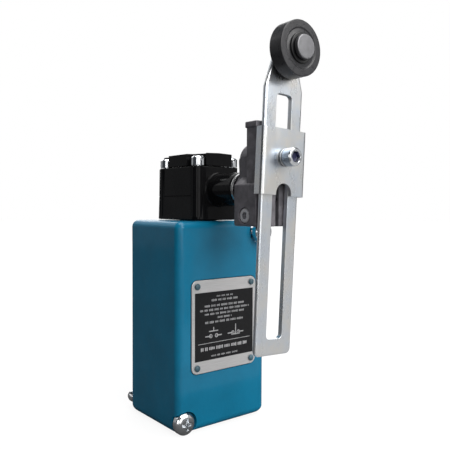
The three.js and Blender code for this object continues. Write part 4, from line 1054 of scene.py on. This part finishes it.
def build_world():
    world = bpy.data.worlds.new("world")
    bpy.context.scene.world = world
    world.use_nodes = True
    nodes, links = world.node_tree.nodes, world.node_tree.links
    room = nodes["Background"]
    room.inputs["Color"].default_value = (0.80, 0.88, 1.0, 1)
    room.inputs["Strength"].default_value = ROOM_LIGHT
    backdrop = nodes.new("ShaderNodeBackground")
    backdrop.inputs["Color"].default_value = (1, 1, 1, 1)
    backdrop.inputs["Strength"].default_value = 1.0
    rays = nodes.new("ShaderNodeLightPath")
    switch = nodes.new("ShaderNodeMixShader")
    links.new(rays.outputs["Is Camera Ray"], switch.inputs["Fac"])
    links.new(room.outputs[0], switch.inputs[1])
    links.new(backdrop.outputs[0], switch.inputs[2])
    links.new(switch.outputs[0], nodes["World Output"].inputs["Surface"])


def build_lights():
    """Softboxes, with their powers in watts.

    The key is high in front, the card to its right, and the low card lies on the floor there and faces up.
    A screen and a narrow strip stand front left, and one more card rear left. One lamp hangs overhead and two
    light the rear.
    """
    aim = (0.0, -0.02, 0.02)
    area_light("key", (0.15, -0.80, 0.66), aim, (1.0, 0.8), 11.6, (1.0, 0.99, 0.97))
    area_light("card", (0.85, -1.05, 0.02), aim, (1.3, 1.5), 2.6)
    area_light("low_card", (0.60, -0.70, -0.03), (0.60, -0.70, 1.0), (1.3, 1.3), 2.0)
    area_light("screen_front", (-0.30, -0.93, 0.10), aim, (0.55, 0.9), 2.5)
    area_light("strip", (-0.62, -0.50, 0.17), aim, (0.20, 0.36), 0.50)
    area_light("card_left", (-0.62, 0.79, 0.12), aim, (0.6, 0.8), 0.40)
    area_light("top", (0.05, -0.05, 0.75), aim, (0.6, 0.6), 4.0)
    area_light("rear_top", (-0.1, 0.75, 0.55), aim, (0.9, 0.4), 0.9)
    area_light("rear_fill", (0.55, 0.90, 0.40), aim, (0.8, 0.8), 3.5)


def build_all():
    finish_frame_nodes()
    build_housing()
    build_rear_plate()
    build_rear_screws()
    build_mount_screw("mount_screw_low", -MOUNT_X, MOUNT_LOW, MOUNT_LOWER_FRONT, "mounting_screw_lower")
    build_mount_screw("mount_screw_high", MOUNT_X, MOUNT_HIGH, MOUNT_UPPER_FRONT, "mounting_screw_upper")
    build_nameplate()
    build_rivets()
    build_head_housing()
    build_head_cover()
    build_head_screws()
    build_bushing()
    build_shaft()
    build_hub()
    build_clamp_screw()
    build_nut()
    build_arm()
    build_saddle()
    build_lock_washer()
    build_cap_screw()
    build_roller()
    build_roller_pin()
    build_springs()


build_all()
build_camera()
build_stage()
build_world()
build_lights()
bpy.context.scene.view_settings.view_transform = "Standard"
